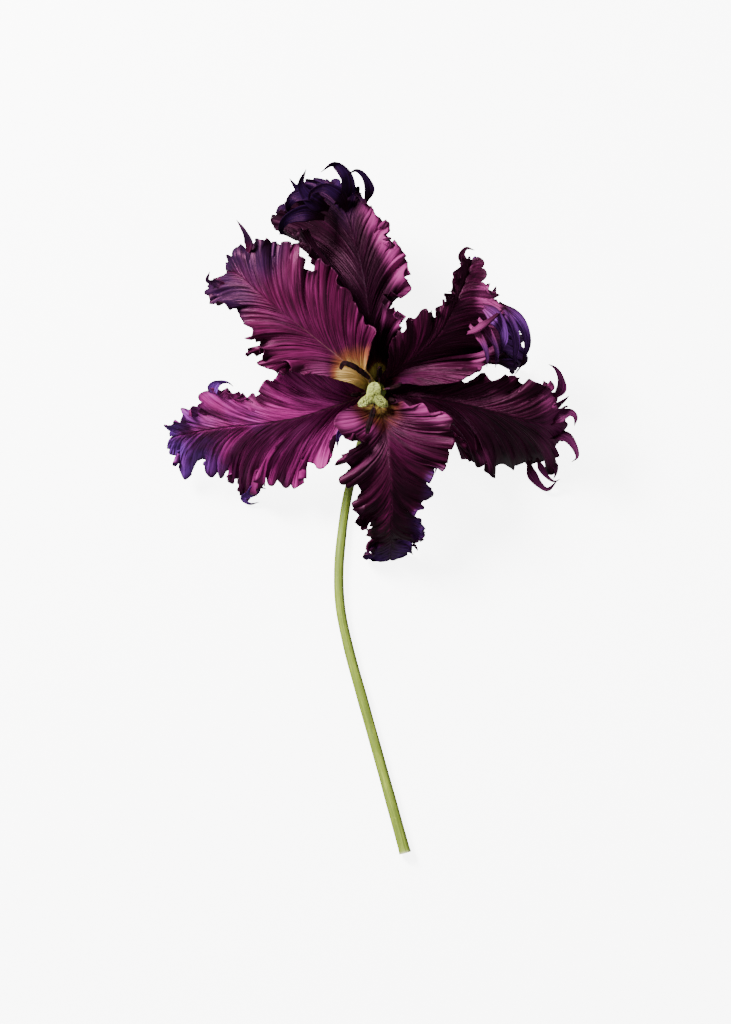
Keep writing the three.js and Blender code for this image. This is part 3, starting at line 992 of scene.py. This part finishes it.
# The six tepals: three inner ones over three outer ones.
COROLLA: tuple[Tepal, ...] = (
    Tepal(
        node="tepal_upper_left",
        tone=Tone.MAGENTA,
        slot="petal_bright",
        claw_z=23.0,
        rib=(
            (-4, 61, 33), (-12, 67.5, 41), (-24, 77, 46), (-38, 88, 49.5), (-50, 98, 49), (-59, 106, 43),
            (-65, 107, 33),
        ),
        left=(
            (-4.3, 55.2, 31), (-8, 57, 40), (-14, 58.5, 45), (-20, 60, 49), (-30, 61.5, 53), (-36, 64, 52),
            (-41, 64.5, 50), (-44.5, 62, 53), (-48.5, 64, 54), (-51, 69, 50), (-49.5, 71.5, 48),
            (-55.5, 69.5, 51), (-49.5, 75, 49), (-56, 77, 49), (-52, 80, 49), (-58, 85, 47), (-60, 90, 45),
            (-63.5, 91, 44), (-68, 92, 42), (-72, 95, 38), (-73, 98.5, 35), (-70, 103, 36), (-66, 103, 40),
        ),
        right=(
            (0.4, 61.4, 31.5), (-1.5, 64, 40), (0, 70, 46), (1.5, 76, 51), (2.5, 80, 53), (-1, 83, 51),
            (-5, 90, 53), (-9, 98, 54), (-14, 104, 53), (-17.5, 111, 52), (-21, 114, 51),
            (-23.5, 109.5, 49), (-28, 107, 50), (-29.5, 114, 52), (-33, 120, 51), (-38, 120, 49),
            (-42, 121.5, 49), (-42, 118, 47), (-47, 122.5, 48), (-50, 120.5, 46), (-53, 119, 48),
            (-57, 119, 47), (-61, 117, 42), (-64, 112, 37),
        ),
        horns=(
            Horn(((-54, 115, 47), (-53, 120, 50), (-55.5, 125, 52), (-59, 129.5, 51)), 5.0),
            Horn(((-62, 100, 42), (-68, 102, 41), (-72, 103, 42), (-71, 107, 44)), 4.0),
        ),
        seed=11,
        violet_from=0.52,
        warmth=1.0,
        highlight_paint=(Spot(-44, 74, 9, 0.3), Spot(-30, 104, 9, 0.3), Spot(-22, 62, 7, 0.6)),
        dusk=(Spot(-64, 98, 12, 0.7), Spot(-46, 116, 10, 0.5)),
        honey=(Spot(-10, 58.5, 6, 0.5),),
        roll=(0.2, 0.0),
    ),
    Tepal(
        node="tepal_top",
        tone=Tone.MAROON_PAINTED_SHADE,
        slot="petal_dark",
        claw_z=20.4,
        rib=(
            (3.5, 66, 30), (2.5, 76, 37), (0, 88, 42), (-2, 102, 46), (-5, 116, 47.5), (-9, 129, 46.5),
            (-14, 140, 42), (-18, 149, 36),
        ),
        left=(
            (-2.1, 60.1, 24.2), (-3.5, 67, 32), (-5, 76, 38), (-9, 86, 41), (-18.5, 99, 43), (-23, 109, 45),
            (-28.5, 118, 45), (-31.5, 121, 43), (-32, 124.5, 38), (-36, 124, 29), (-40, 127, 17),
            (-42, 130, 7), (-41, 134, -1), (-38, 138, 3), (-34, 142, 17), (-31, 147, 29), (-25, 149, 36),
        ),
        right=(
            (8.1, 60.1, 24.2), (11, 66.5, 31.5), (13, 73, 37), (14, 78, 41), (14.5, 84, 43), (15, 89, 45),
            (11, 94, 50), (9, 97, 49), (12, 97.5, 45), (16, 100, 46), (18.5, 104, 48), (19.5, 108, 47),
            (17.5, 111.5, 45), (16.5, 115, 49), (13.5, 120, 50), (10.5, 124, 47), (10, 128, 48),
            (6, 131, 49), (4, 134.5, 46), (1.5, 138.5, 47), (-2, 140.5, 45), (-5, 143, 45), (-9, 147, 44),
        ),
        horns=(
            Horn(((-2, 137, 46), (0, 144, 50), (-3, 150, 53), (-6, 151.5, 54), (-9.5, 149.5, 54)), 5.0),
            Horn(
                ((-15, 137, 46), (-10.5, 143, 51), (-11, 150, 54), (-16, 154.5, 55), (-21.5, 150.5, 55)),
                9.0,
            ),
            Horn(((-18, 135, 46), (-25, 138, 51), (-30.5, 145, 53), (-28, 152, 54)), 8.0),
            Horn(((-26, 139, 47), (-32, 143, 50), (-35.5, 148, 51)), 5.0),
            Horn(((-20, 138, 47), (-28, 141, 51), (-34.5, 139, 52), (-36.5, 134, 50), (-33, 131, 49)), 8.0),
            Horn(((-20, 131, 46), (-29, 133, 50), (-37, 130, 49), (-39.5, 125, 45), (-36, 122.5, 43)), 8.0),
            Horn(((-10, 134, 47), (-14, 141, 52), (-20, 144, 54), (-26, 141.5, 54), (-27, 137, 53)), 7.0),
            Horn(((-34, 134, 40), (-39, 136, 38), (-42, 133, 38)), 4.0),
        ),
        seed=23,
        violet_from=0.66,
        warmth=0.8,
        highlight_paint=(
            Spot(8, 127, 8),
            Spot(14, 117, 8),
            Spot(18, 106, 8),
            Spot(13, 87, 7, 0.9),
            Spot(2, 136, 6, 0.8),
        ),
        honey=(Spot(4.6, 62.5, 3.2, 1.0),),
        roll=(0.3, 0.95),
    ),
    Tepal(
        node="tepal_upper_right",
        tone=Tone.GRAPE,
        slot="petal_dark",
        claw_z=23.0,
        rib=((11, 62, 32), (21, 69, 40.5), (31, 79, 46), (38, 92, 49), (43, 104, 48), (46, 113.5, 44)),
        left=(
            (6.4, 62.1, 31.5), (8, 64, 37), (9, 70, 43), (10.5, 76.5, 48), (15, 80, 50), (16.5, 84.5, 51),
            (20, 86, 51), (25, 89.5, 52), (27, 89, 50), (29, 86.5, 48), (31, 91, 51), (33.5, 95, 52),
            (36, 99, 52), (39, 104, 51), (37.5, 106, 52), (40.5, 111.5, 50), (41, 115, 48),
        ),
        right=(
            (10.9, 55.4, 31), (16, 57, 36), (24, 56, 42), (32, 56.5, 46), (40, 57.5, 48), (46, 60, 48),
            (50, 63, 45), (52.5, 65, 37), (56, 65.5, 31), (60, 68, 27), (64.5, 65, 6), (66, 66, -1),
            (69, 70, 8), (71.5, 76, 18), (69.5, 80, 27), (65, 84, 34), (61.5, 87, 40), (61, 91, 43),
            (57, 93.5, 45), (58, 96.5, 46), (55, 99, 47), (51.5, 101, 48), (52, 106, 47), (51.5, 111, 46),
            (48.5, 114, 45),
        ),
        horns=(
            Horn(((44, 79, 47), (50, 81, 51), (56, 86, 52.5), (60.5, 90.5, 50)), 7.0, 0.0, 0.5),
            Horn(((45, 83, 47), (50.5, 77, 49), (52.8, 70.5, 47), (52.6, 64.3, 42)), 5.5, 0.35, 0.7),
            Horn(((49, 86, 47), (54.5, 79, 49.5), (57.3, 72, 46), (56.5, 64, 40)), 6.0, 0.5, 0.7),
            Horn(((50, 92, 46), (57, 87, 49), (60.5, 79, 48.5), (59, 71, 43)), 10.0, 0.75, 0.4),
            Horn(((56, 92, 44), (63, 86, 47), (66, 77, 44), (65, 64, 35)), 8.0, 1.0, 0.3),
            Horn(((58, 93, 43), (67, 86, 45), (71, 77, 41), (69.5, 67.5, 34)), 8.5, 1.0, 0.2),
            Horn(((70.3, 73, 37), (69, 67, 31), (65.3, 61, 25)), 1.6, 0.2),
            Horn(((43, 109, 47), (41.5, 114, 49), (43.5, 117, 51), (47, 116, 52)), 3.5, 0.1),
        ),
        seed=37,
        violet_from=0.97,
        warmth=0.7,
        highlight_paint=(Spot(55, 90, 6, 0.9), Spot(57, 80, 6, 0.7), Spot(50, 69, 6, 0.6), Spot(52, 97, 5, 0.7)),
        dusk=(Spot(67, 80, 8, 1.0), Spot(68, 68, 8, 1.0)),
        roll=(0.1, 0.5),
    ),
    Tepal(
        node="tepal_right",
        tone=Tone.WINE,
        slot="petal_dark",
        claw_z=20.4,
        rib=(
            (18, 51.5, 28.5), (30, 50, 34), (45, 47, 38), (60, 43, 38), (72, 40, 35), (82, 39, 29),
            (90, 40, 24),
        ),
        left=(
            (9.6, 58.6, 24.5), (15, 57, 28), (23, 61, 32), (33, 62, 35), (42, 60, 38), (48, 58, 41),
            (52, 60, 42), (57, 62, 43), (61, 61.5, 41), (66, 60.5, 40), (71, 57, 39), (75.5, 58.5, 40),
            (79, 56, 39), (82, 58, 40), (84, 54, 37), (85, 50, 35), (84, 48, 33), (88, 49, 32),
            (87, 44, 29),
        ),
        right=(
            (8.7, 48.3, 24.5), (16, 47, 29), (24, 43, 32), (32, 38, 32), (38, 33, 29), (41, 30, 25),
            (44, 24, 17), (47, 21.5, 12), (51, 22.5, 10), (54, 26, 13), (50.5, 29, 18), (55, 24, 11),
            (54.5, 19.5, 8), (57, 17, 6), (62, 17.5, 2), (66, 18.5, 1), (70, 19.5, 0), (73, 18, -1),
            (77, 20, -1), (81, 20, 1), (85, 21.5, 4), (84, 28, 12), (88, 33, 18), (89, 37, 21),
        ),
        horns=(
            Horn(((82, 50, 36), (86, 55, 39), (85.5, 60, 42), (83, 64, 44), (80, 65.5, 45)), 5.0),
            Horn(((81, 46, 33), (86, 49, 35), (89.5, 51.5, 37)), 4.5),
            Horn(((81, 39, 30), (87, 43, 31), (90.5, 44, 32), (92.5, 42, 33), (92, 38, 33)), 6.0),
            Horn(((81, 33, 22), (88, 33, 24), (92, 29, 25), (93.5, 24, 26), (91, 22, 27)), 5.5),
            Horn(((72, 23, 6), (74, 16.5, 3), (77.5, 12, 2), (81, 10, 3), (85.5, 14, 5)), 5.0),
            Horn(((76, 24, 9), (80, 16.5, 6), (84, 13.5, 6), (86.5, 14.5, 7)), 3.5),
            Horn(((83, 23, 9), (84.5, 18, 7), (83.5, 14.5, 7)), 3.0),
        ),
        seed=41,
        violet_from=0.75,
        warmth=0.6,
        highlight_paint=(Spot(84, 52, 7, 0.9), Spot(52, 24, 6, 0.5), Spot(84, 40, 9, 0.6), Spot(82, 26, 8, 0.5)),
        roll=(0.2, 0.3),
    ),
    Tepal(
        node="tepal_bottom",
        tone=Tone.MAROON,
        slot="petal_dark",
        claw_z=23.0,
        rib=(
            (6, 43, 33), (8, 33, 40), (9.5, 20, 42), (10, 6, 38), (10, -8, 28), (10, -17, 12),
            (9.5, -23, -1),
        ),
        left=(
            (9.1, 48.9, 30.5), (11, 47, 35), (15, 49, 41), (19, 46, 45), (24, 48, 47), (28, 43, 47),
            (33, 44, 47), (38, 41, 46), (39, 35, 44), (37.5, 28, 42), (35, 24, 40), (35, 20.5, 38),
            (31.5, 20, 37), (28, 16, 34), (26, 12, 31), (30, 8, 28), (24.5, 2.5, 26), (19.5, 0, 25),
            (24, -4, 21), (25, -9, 15), (21.5, -12.5, 11), (16.5, -11, 9), (20, -16, 3), (18.5, -19.5, -1),
        ),
        right=(
            (0.3, 46.5, 30.5), (-3, 48, 35), (-9, 46, 42), (-14, 43, 46), (-16, 38, 48), (-14.5, 33.5, 48),
            (-9.5, 30.5, 47), (-5.5, 28, 44), (-11, 25, 44), (-15.5, 21, 43), (-11, 18, 40),
            (-13.5, 14, 39), (-9, 11, 36), (-4, 9, 33), (-7.5, 4, 31), (-5, 1, 28), (-8.5, -1, 26),
            (-4, -4.5, 23), (0, -3.5, 23), (1, -7, 19), (-2, -11, 14), (0.5, -15, 10), (-1.5, -20, 0),
            (1, -22.5, -1),
        ),
        horns=(Horn(((-11, 38, 45), (-13.5, 34.5, 46), (-14.2, 31, 45.5), (-14, 28.5, 45)), 3.4),),
        seed=59,
        violet_from=0.78,
        warmth=0.95,
        highlight_paint=(
            Spot(-9, 40, 5.5, 1.1),
            Spot(1, 36, 4, 0.6),
            Spot(22, 49, 8, 0.8),
            Spot(32, 43, 6, 0.6),
            Spot(-10, 23, 5, 0.4),
        ),
        dusk=(Spot(32, 12, 8, 0.8), Spot(24, -6, 8, 0.9)),
        roll=(0.5, 0.5),
    ),
    Tepal(
        node="tepal_left",
        tone=Tone.ROSE,
        slot="petal_bright",
        claw_z=20.4,
        rib=(
            (-8, 49.5, 28), (-18, 46, 35), (-32, 41.5, 39), (-48, 39, 40), (-64, 37.5, 36), (-78, 35.5, 30),
            (-90, 33, 20),
        ),
        left=(
            (-0.8, 46.9, 24.2), (-5.5, 41, 30), (-11.5, 36, 35), (-15.5, 34, 36), (-18, 30, 34),
            (-17, 24, 29), (-18.5, 21, 27), (-23, 19.5, 25), (-28, 22, 25), (-30.5, 23, 25), (-31, 17, 19),
            (-33, 12, 14), (-37, 11, 11), (-42, 13, 13), (-46, 13.5, 15), (-50, 17, 17), (-51, 12, 10),
            (-55, 7, -1.5), (-58, 9, -1.5), (-60, 13, 6), (-64, 17, 13), (-67, 15.5, 9), (-71, 17, 9),
            (-74, 21, 13), (-77, 22, 13), (-82.5, 16.5, 5), (-86, 21, 9), (-86, 26, 13), (-91, 27, 13),
        ),
        right=(
            (-4.6, 56.5, 24.2), (-8.5, 60, 29), (-14, 64.5, 35), (-24, 67, 39), (-33, 67, 41),
            (-41, 65, 42), (-44, 60, 40), (-48, 62, 42), (-49, 56, 40), (-53, 51, 38), (-58, 50, 39),
            (-61, 52, 41), (-64, 52, 42), (-68, 55, 44), (-72, 54.5, 43), (-76, 51, 41), (-76.5, 47, 37),
            (-80, 46, 36), (-85, 44, 34), (-88, 40, 30), (-92, 38, 25), (-90, 34, 22),
        ),
        horns=(
            Horn(((-65, 50, 42), (-69, 54, 44), (-67, 57.5, 47), (-63, 57.5, 48), (-60.5, 55.5, 48)), 6.0),
            Horn(((-49, 15, 13), (-53, 9, 6), (-57, 6, 3), (-54, 3.5, 2), (-50, 4, 3)), 5.5),
            Horn(((-47, 16, 14), (-49.5, 11.5, 10), (-46.5, 10, 9)), 3.5),
        ),
        seed=71,
        violet_from=0.55,
        warmth=0.55,
        highlight_paint=(Spot(-50, 52, 8, 0.6), Spot(-72, 40, 12, 0.5), Spot(-58, 14, 8, 0.5)),
        roll=(0.5, 0.3),
    ),
)


# ---------------------------------------------------------------- stem, stamens and pistil


@dataclass
class Stem:
    """The bare stem: it lies on the surface, bends up at its neck and swells to the receptacle.

    Args:
        plan: The lying part's line in plan, from the cut end.
        neck: The line on from there, up to the receptacle's top.
        radius_cut: Radius at the cut end.
        radius_neck: Radius under the receptacle.
        radius_receptacle: Radius of the receptacle.
        clearance: The least height of the lying part over the surface.
        rings: How many sections it is made of.
        sides: How many points a section has.
    """

    plan: tuple[tuple[float, float], ...] = (
        (16.4, -155), (5, -113.6), (-3, -85), (-9.3, -62),
        (-13, -43.6), (-13.7, -27.5), (-12.3, -10.3), (-9.9, 6),
    )
    neck: tuple[Point, ...] = (
        (-6.5, 20, 2.2), (-2.9, 33, 2.6), (0.3, 43.4, 6.6), (2.2, 50.6, 12.4), (3, 53.8, 18), (3, 54, 22),
    )
    radius_cut: float = 2.55
    radius_neck: float = 2.0
    radius_receptacle: float = 4.7
    clearance: float = 0.02
    rings: int = 420
    sides: int = 56

    def patch(self) -> Patch:
        """A ribbed round section along the path, its lying part lifted to rest on the surface.

        The radius is the taper times 1 + 0.012 sin(9a) + 0.008 sin(14a + 12t), with slow swellings
        along the length, and flares a little at the cut.
        """
        path = Curve([*[(x, y, 0.0) for x, y in self.plan], *self.neck])
        t = np.linspace(0.0, 1.0, self.rings)
        turn = circle(self.sides)
        taper = self.radius_cut + (self.radius_neck - self.radius_cut) * np.minimum(1.0, t * 1.15)
        swell = (self.radius_receptacle - self.radius_neck) * smoothstep(0.965, 0.995, t)
        slow = 1.0 + 0.018 * np.sin(23.0 * t) + 0.012 * np.sin(61.0 * t + 1.0)
        flare = 0.22 * np.exp(-t / 0.006)
        ribs = 1.0 + 0.012 * np.sin(9 * turn[None]) + 0.008 * np.sin(14 * turn[None] + 12 * t[:, None])
        radius = ((taper + flare) * slow + swell)[:, None] * ribs
        side = np.array([1.0, 0.0, 0.0])
        rings = carried_rings(path, t, side, radius * np.cos(turn), radius * np.sin(turn))
        lift = np.maximum(0.0, self.clearance - rings[..., 2].min(axis=1))[:, None]
        rings[..., 2] += np.maximum(lift, running_mean(lift, 9))
        cut = np.broadcast_to(np.exp(-t / 0.0015)[:, None], radius.shape)
        made = tube(rings, unrolled(turn, t), {"cut": cut})
        made.masks["cut"][-1] = 0.0
        return made

    def middle(self) -> Array:
        """The middle of the made stem's box in plan, in millimetres."""
        points = self.patch().points
        return (points[:, :2].min(axis=0) + points[:, :2].max(axis=0)) / 2.0


@dataclass(frozen=True)
class Stamen:
    """A filament that rises from the receptacle and the anther on it.

    Args:
        number: Its number in the nodes' names.
        foot: The direction of its foot from the axis, in degrees.
        path: Points along the anther, from its base to its tip.
        plump: The anther's radius.
        ring_radius: Distance of the foot from the axis.
        thickness: About the filament's radius.
        gap: How far past the filament's end the anther starts.
    """

    number: int
    foot: float
    path: tuple[Point, ...]
    plump: float = 1.2

    ring_radius: float = 3.45
    thickness: float = 0.5
    gap: float = 0.8

    def ground(self, out: float, height: float) -> Point:
        """A point at the stamen's foot angle, a distance from the axis and a height."""
        angle = math.radians(self.foot)
        radius = self.ring_radius + out
        return (AXIS[0] + radius * math.cos(angle), AXIS[1] + radius * math.sin(angle), height)

    def filament(self) -> Patch:
        """A round stalk, flattened by a tenth, thicker at its foot."""
        foot = self.ground(0.0, RECEPTACLE_TOP + PISTIL_GAP)
        path = Curve([foot, self.ground(0.9, RECEPTACLE_TOP + 7.0), self.path[0]])
        t = np.linspace(0.0, 1.0, 40)
        turn = circle(16)
        radius = self.thickness * (1.15 - 0.4 * t)[:, None] * np.ones_like(turn)[None]
        side = np.array([0.3, 1.0, 0.0])
        rings = carried_rings(path, t, side, radius * np.cos(turn), 0.9 * radius * np.sin(turn))
        return tube(rings, unrolled(turn, t), {"along": np.broadcast_to(t[:, None], radius.shape)})

    def anther(self) -> Patch:
        """A long sac with two grooves: the radius is plump times 1 - 0.3 |cos a|^8, crumpled along."""
        points = np.array(self.path)
        points[0] += unit(points[1] - points[0]) * self.gap
        path = Curve(points)
        t = np.linspace(0.0, 1.0, 90)
        turn = circle(40)
        body = 0.3 + 0.7 * np.sin(math.pi * (0.1 + 0.84 * t)) ** 0.5
        waist = 1.0 - 0.2 * np.exp(-(((t - 0.42) / 0.05) ** 2))
        crumple = 1.0 + 0.07 * np.sin(34 * t)[:, None] * np.sin(3 * turn)[None]
        groove = 1.0 - 0.3 * np.abs(np.cos(turn)) ** 8 - 0.22 * np.abs(np.sin(turn)) ** 10
        radius = self.plump * (body * waist)[:, None] * groove[None] * crumple
        side = np.array([0.2, 0.1, 1.0])
        rings = carried_rings(path, t, side, radius * np.cos(turn), radius * np.sin(turn) * 1.05)
        return tube(rings, unrolled(turn, t))


# The six stamens: two lie out over the tepals, and four stand close round the pistil.
ANDROECIUM: tuple[Stamen, ...] = (
    Stamen(
        1,
        130,
        ((0.5, 59, 40), (-3.5, 62.3, 43), (-8, 65, 45.5), (-11.3, 65.8, 46), (-12.8, 63.3, 45.5)),
        1.4,
    ),
    Stamen(2, 265, ((2.2, 46.4, 41), (1.4, 43, 43), (0.1, 39, 45), (-0.9, 34.6, 46)), 1.5),
    Stamen(3, 70, ((4.5, 59.8, 33), (4.6, 61.8, 37), (4.8, 64.3, 41))),
    Stamen(4, 10, ((9.4, 55, 32), (12, 55.7, 36.5), (14.2, 56.4, 40))),
    Stamen(5, 320, ((8.4, 50, 34), (10, 49.5, 38), (11.4, 49.2, 41.5))),
    Stamen(6, 190, ((-3.5, 52.5, 33), (-5.7, 52.1, 36), (-7.8, 51.7, 38.5))),
)


@dataclass
class Pistil:
    """The three-sided ovary and the three-lobed stigma on it.

    Args:
        ovary_radius: The ovary's mean radius.
        ovary_top: Height of its top.
        stigma_middle: The stigma's middle in plan.
        stigma_core: Its radius between the lobes.
        stigma_height: Its height over the ovary.
        lobe_angles: The lobes' directions in degrees.
        lobe_reaches: How far each lobe goes beyond the core.
        lobe_spreads: The half width of each lobe, in radians.
        grain: Height of each of the waves that make the grains.
        crease: Depth of the crease along each lobe.
    """

    ovary_radius: float = 2.5
    ovary_top: float = 38.0
    stigma_middle: tuple[float, float] = (2.0, 51.4)
    stigma_core: float = 2.7
    stigma_height: float = 5.6
    lobe_angles: tuple[float, ...] = (86.0, 213.0, 322.0)
    lobe_reaches: tuple[float, ...] = (3.2, 5.2, 4.8)
    lobe_spreads: tuple[float, ...] = (0.8, 0.44, 0.48)
    grain: float = 0.13
    crease: float = 0.35

    @staticmethod
    def ringed(middle: tuple[float, float], radius: Array, turn: Array, height: Array) -> Array:
        """Ring points about an upright line."""
        x, y = middle[0] + radius * np.cos(turn), middle[1] + radius * np.sin(turn)
        return np.stack([x, y, height], axis=-1)

    def ovary(self) -> Patch:
        """A three-sided column: its radius is R w(t) (1 + 0.08 cos 3a + 0.02 cos 6a)."""
        t = np.linspace(0.0, 1.0, 60)
        turn = circle(60)
        width = np.interp(t, [0.0, 0.15, 0.5, 0.85, 1.0], [0.85, 1.0, 1.05, 0.9, 0.8])
        from_top = turn - math.pi / 2
        sides = 1.0 + 0.08 * np.cos(3 * from_top) + 0.02 * np.cos(6 * from_top)
        radius = self.ovary_radius * width[:, None] * sides[None]
        foot = RECEPTACLE_TOP + PISTIL_GAP
        height = foot + (self.ovary_top - foot) * t[:, None] + 0 * radius
        rings = self.ringed(AXIS, radius, turn, height)
        return tube(rings, unrolled(turn, t), {"crest": 0 * radius})

    def stigma(self) -> Patch:
        """Three blunt lobes under a dome, covered in grains.

        The radius at angle a is the core plus each lobe's reach times exp(-(d / spread)^2), with d
        the angle from the lobe, all times sin(p)^0.75 for p from the foot to the top. The lobes
        droop with the square of the radius, and crossed sine waves make the grains.
        """
        rng = np.random.default_rng(5)
        p = np.linspace(0.08, 1.0, 150)[:, None] * math.pi
        turn = circle(260)
        aways = [np.angle(np.exp(1j * (turn - math.radians(angle)))) for angle in self.lobe_angles]
        sizes = zip(aways, self.lobe_reaches, self.lobe_spreads)
        lobes = sum(reach * np.exp(-((d / spread) ** 2)) for d, reach, spread in sizes)
        crease = sum(np.exp(-((d / 0.09) ** 2)) for d in aways)
        waves = enumerate(rng.integers(22, 58, (10, 2)))
        grain = self.grain * sum(np.sin(a * turn + k) * np.sin(b * p + 2 * k) for k, (a, b) in waves)
        spread = np.sin(p) ** 0.75
        radius = (self.stigma_core + lobes) * spread
        rise = 0.5 - 0.5 * np.cos(p)
        drop = -2.0 * (radius / 7.5) ** 2 * rise
        foot = self.ovary_top + PISTIL_GAP
        height = foot + self.stigma_height * rise + drop - self.crease * crease * spread * rise
        height = np.maximum(height + grain * rise, foot)
        rings = self.ringed(self.stigma_middle, radius + grain * spread, turn, height)
        # Painted highlight on the dome's top, less in the creases, plus the grains' own paler peaks.
        crest = np.clip(rise * (0.8 - 0.5 * crease) + 1.6 * grain, 0.0, 1.0)
        return tube(rings, unrolled(turn, p[:, 0] / math.pi), {"crest": crest})


# ---------------------------------------------------------------- building


class Workbench:
    """Turns patches into objects in the frame."""

    def __init__(self, shift: Array) -> None:
        """Keeps the move from plan millimetres to the frame's, and the materials made so far."""
        self.shift = shift
        self.finishes: dict[str, bpy.types.Material] = {}

    def material(self, finish: Any) -> bpy.types.Material:
        """The material of a finish, made once."""
        if finish.name not in self.finishes:
            self.finishes[finish.name] = finish.material()
        return self.finishes[finish.name]

    def place(self, name: str, patch: Patch, finish: Any, slot: str, node: str) -> bpy.types.Object:
        """Makes an object of a patch, dresses it and ties it to the frame.

        Args:
            name: The object's name.
            patch: Its surface, in plan millimetres.
            finish: Its finish.
            slot: The record's material slot; not used.
            node: The CAD node that it replaces.

        Returns:
            The object.
        """
        points = (patch.points + np.array([self.shift[0], self.shift[1], 0.0])) * MM
        mesh = bpy.data.meshes.new(name)
        mesh.from_pydata(points.tolist(), [], patch.faces)
        corners = np.zeros(len(mesh.loops), dtype=np.int32)
        mesh.loops.foreach_get("vertex_index", corners)
        layer = mesh.uv_layers.new(name="UVMap")
        layer.data.foreach_set("uv", patch.uv[corners].astype(np.float32).ravel())
        for key, values in patch.masks.items():
            attribute = mesh.attributes.new(key, "FLOAT", "POINT")
            attribute.data.foreach_set("value", np.ascontiguousarray(values, dtype=np.float32))
        mesh.polygons.foreach_set("use_smooth", np.ones(len(mesh.polygons), dtype=bool))
        mesh.materials.append(self.material(finish))
        mesh.update()
        made = bpy.data.objects.new(name, mesh)
        bpy.context.scene.collection.objects.link(made)
        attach(made, BODY)
        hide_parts(node)
        LOG.info("%s: %d faces", name, len(mesh.polygons))
        return made


@dataclass(frozen=True)
class Lamp:
    """A square soft light that faces the flower.

    Args:
        name: The light's name.
        place: Where it stands, in metres.
        size: The length of its side, in metres.
        power: Its power in watts.
        colour: The colour of its light.
        target: What it faces, in metres.
    """

    name: str
    place: Point
    size: float
    power: float
    colour: Colour

    target: Point = (0.0, 0.05, 0.03)

    def build(self) -> None:
        """Makes the light and turns it to the target."""
        data = bpy.data.lights.new(self.name, "AREA")
        data.size = self.size
        data.energy = self.power
        data.color = self.colour
        lamp = bpy.data.objects.new(self.name, data)
        lamp.location = self.place
        x, y, z = np.array(self.target) - np.array(self.place)
        lamp.rotation_euler = (math.atan2(math.hypot(x, y), -z), 0.0, math.atan2(y, x) - math.pi / 2)
        bpy.context.scene.collection.objects.link(lamp)


@dataclass
class Studio:
    """A pale floor, soft light from the upper left and a camera that looks straight down.

    Args:
        frame_height: What the long side of the camera's view covers, in metres.
        focus_height: The height at which that length is true.
        lens: The camera's focal length in millimetres.
        sensor: The long side of the camera's sensor, in millimetres.
        floor_half: Half of the floor's side, in metres.
        sky: Strength of the light from all sides.
        lamps: The lights.
    """

    frame_height: float = 0.4608
    focus_height: float = 0.022
    lens: float = 200.0
    sensor: float = 36.0
    floor_half: float = 1.6
    sky: float = 0.3
    lamps: tuple[Lamp, ...] = (
        Lamp("key", (-0.85, 0.9, 0.95), 0.5, 125.0, (1.0, 0.985, 0.97)),
        Lamp("fill", (0.9, -0.5, 1.2), 1.2, 8.0, (0.97, 0.98, 1.0)),
    )

    def build(self, bench: Workbench, middle: Array) -> None:
        """Makes the floor, the lights, the sky and the camera.

        Args:
            bench: Makes the floor's material.
            middle: The place that the camera looks down on, in metres.
        """
        half = self.floor_half
        mesh = bpy.data.meshes.new("floor")
        corners = [(-half, -half, 0), (half, -half, 0), (half, half, 0), (-half, half, 0)]
        mesh.from_pydata(corners, [], [(0, 1, 2, 3)])
        mesh.materials.append(bench.material(FloorFinish()))
        floor = bpy.data.objects.new("floor", mesh)
        bpy.context.scene.collection.objects.link(floor)
        # The floor's glow is for the camera: it neither lights the petals nor shows in them.
        floor.visible_diffuse = False
        floor.visible_glossy = False
        for lamp in self.lamps:
            lamp.build()
        world = bpy.data.worlds.new("studio")
        world.use_nodes = True
        background = world.node_tree.nodes["Background"]
        background.inputs["Color"].default_value = (1.0, 1.0, 1.0, 1.0)
        background.inputs["Strength"].default_value = self.sky
        bpy.context.scene.world = world
        camera = bpy.data.cameras.new("camera")
        camera.lens = self.lens
        camera.sensor_width = self.sensor
        camera.clip_end = 20.0
        eye = bpy.data.objects.new("camera", camera)
        eye.location = (*middle, self.focus_height + self.frame_height * self.lens / self.sensor)
        bpy.context.scene.collection.objects.link(eye)
        bpy.context.scene.camera = eye


def main() -> None:
    """Loads the frame, builds every piece over its solid and sets the studio."""
    logging.basicConfig(level=logging.INFO, format="%(name)s: %(message)s")
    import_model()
    stem = Stem()
    low, high = (np.array(corner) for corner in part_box("stem"))
    shift = (low[:2] + high[:2]) / 2.0 / MM - stem.middle()
    LOG.info("plan moved by %s mm", np.round(shift, 2))
    bench = Workbench(shift)
    Studio().build(bench, (shift + np.array(VIEW_CENTRE)) * MM)
    for tepal in COROLLA:
        bench.place(f"{tepal.node}_skin", tepal.patch(), tepal.tone.value, tepal.slot, tepal.node)
    for stamen in ANDROECIUM:
        name = f"filament_{stamen.number}"
        bench.place(f"{name}_stalk", stamen.filament(), FilamentFinish(), "filament", name)
        name = f"anther_{stamen.number}"
        bench.place(f"{name}_sac", stamen.anther(), AntherFinish(), "anther", name)
    pistil = Pistil()
    bench.place("ovary_column", pistil.ovary(), PistilFinish(), "pistil", "ovary")
    bench.place("stigma_lobes", pistil.stigma(), PistilFinish(), "pistil", "stigma")
    bench.place("stem_skin", stem.patch(), StemFinish(), "stem_green", "stem")


if __name__ == "__main__":
    main()
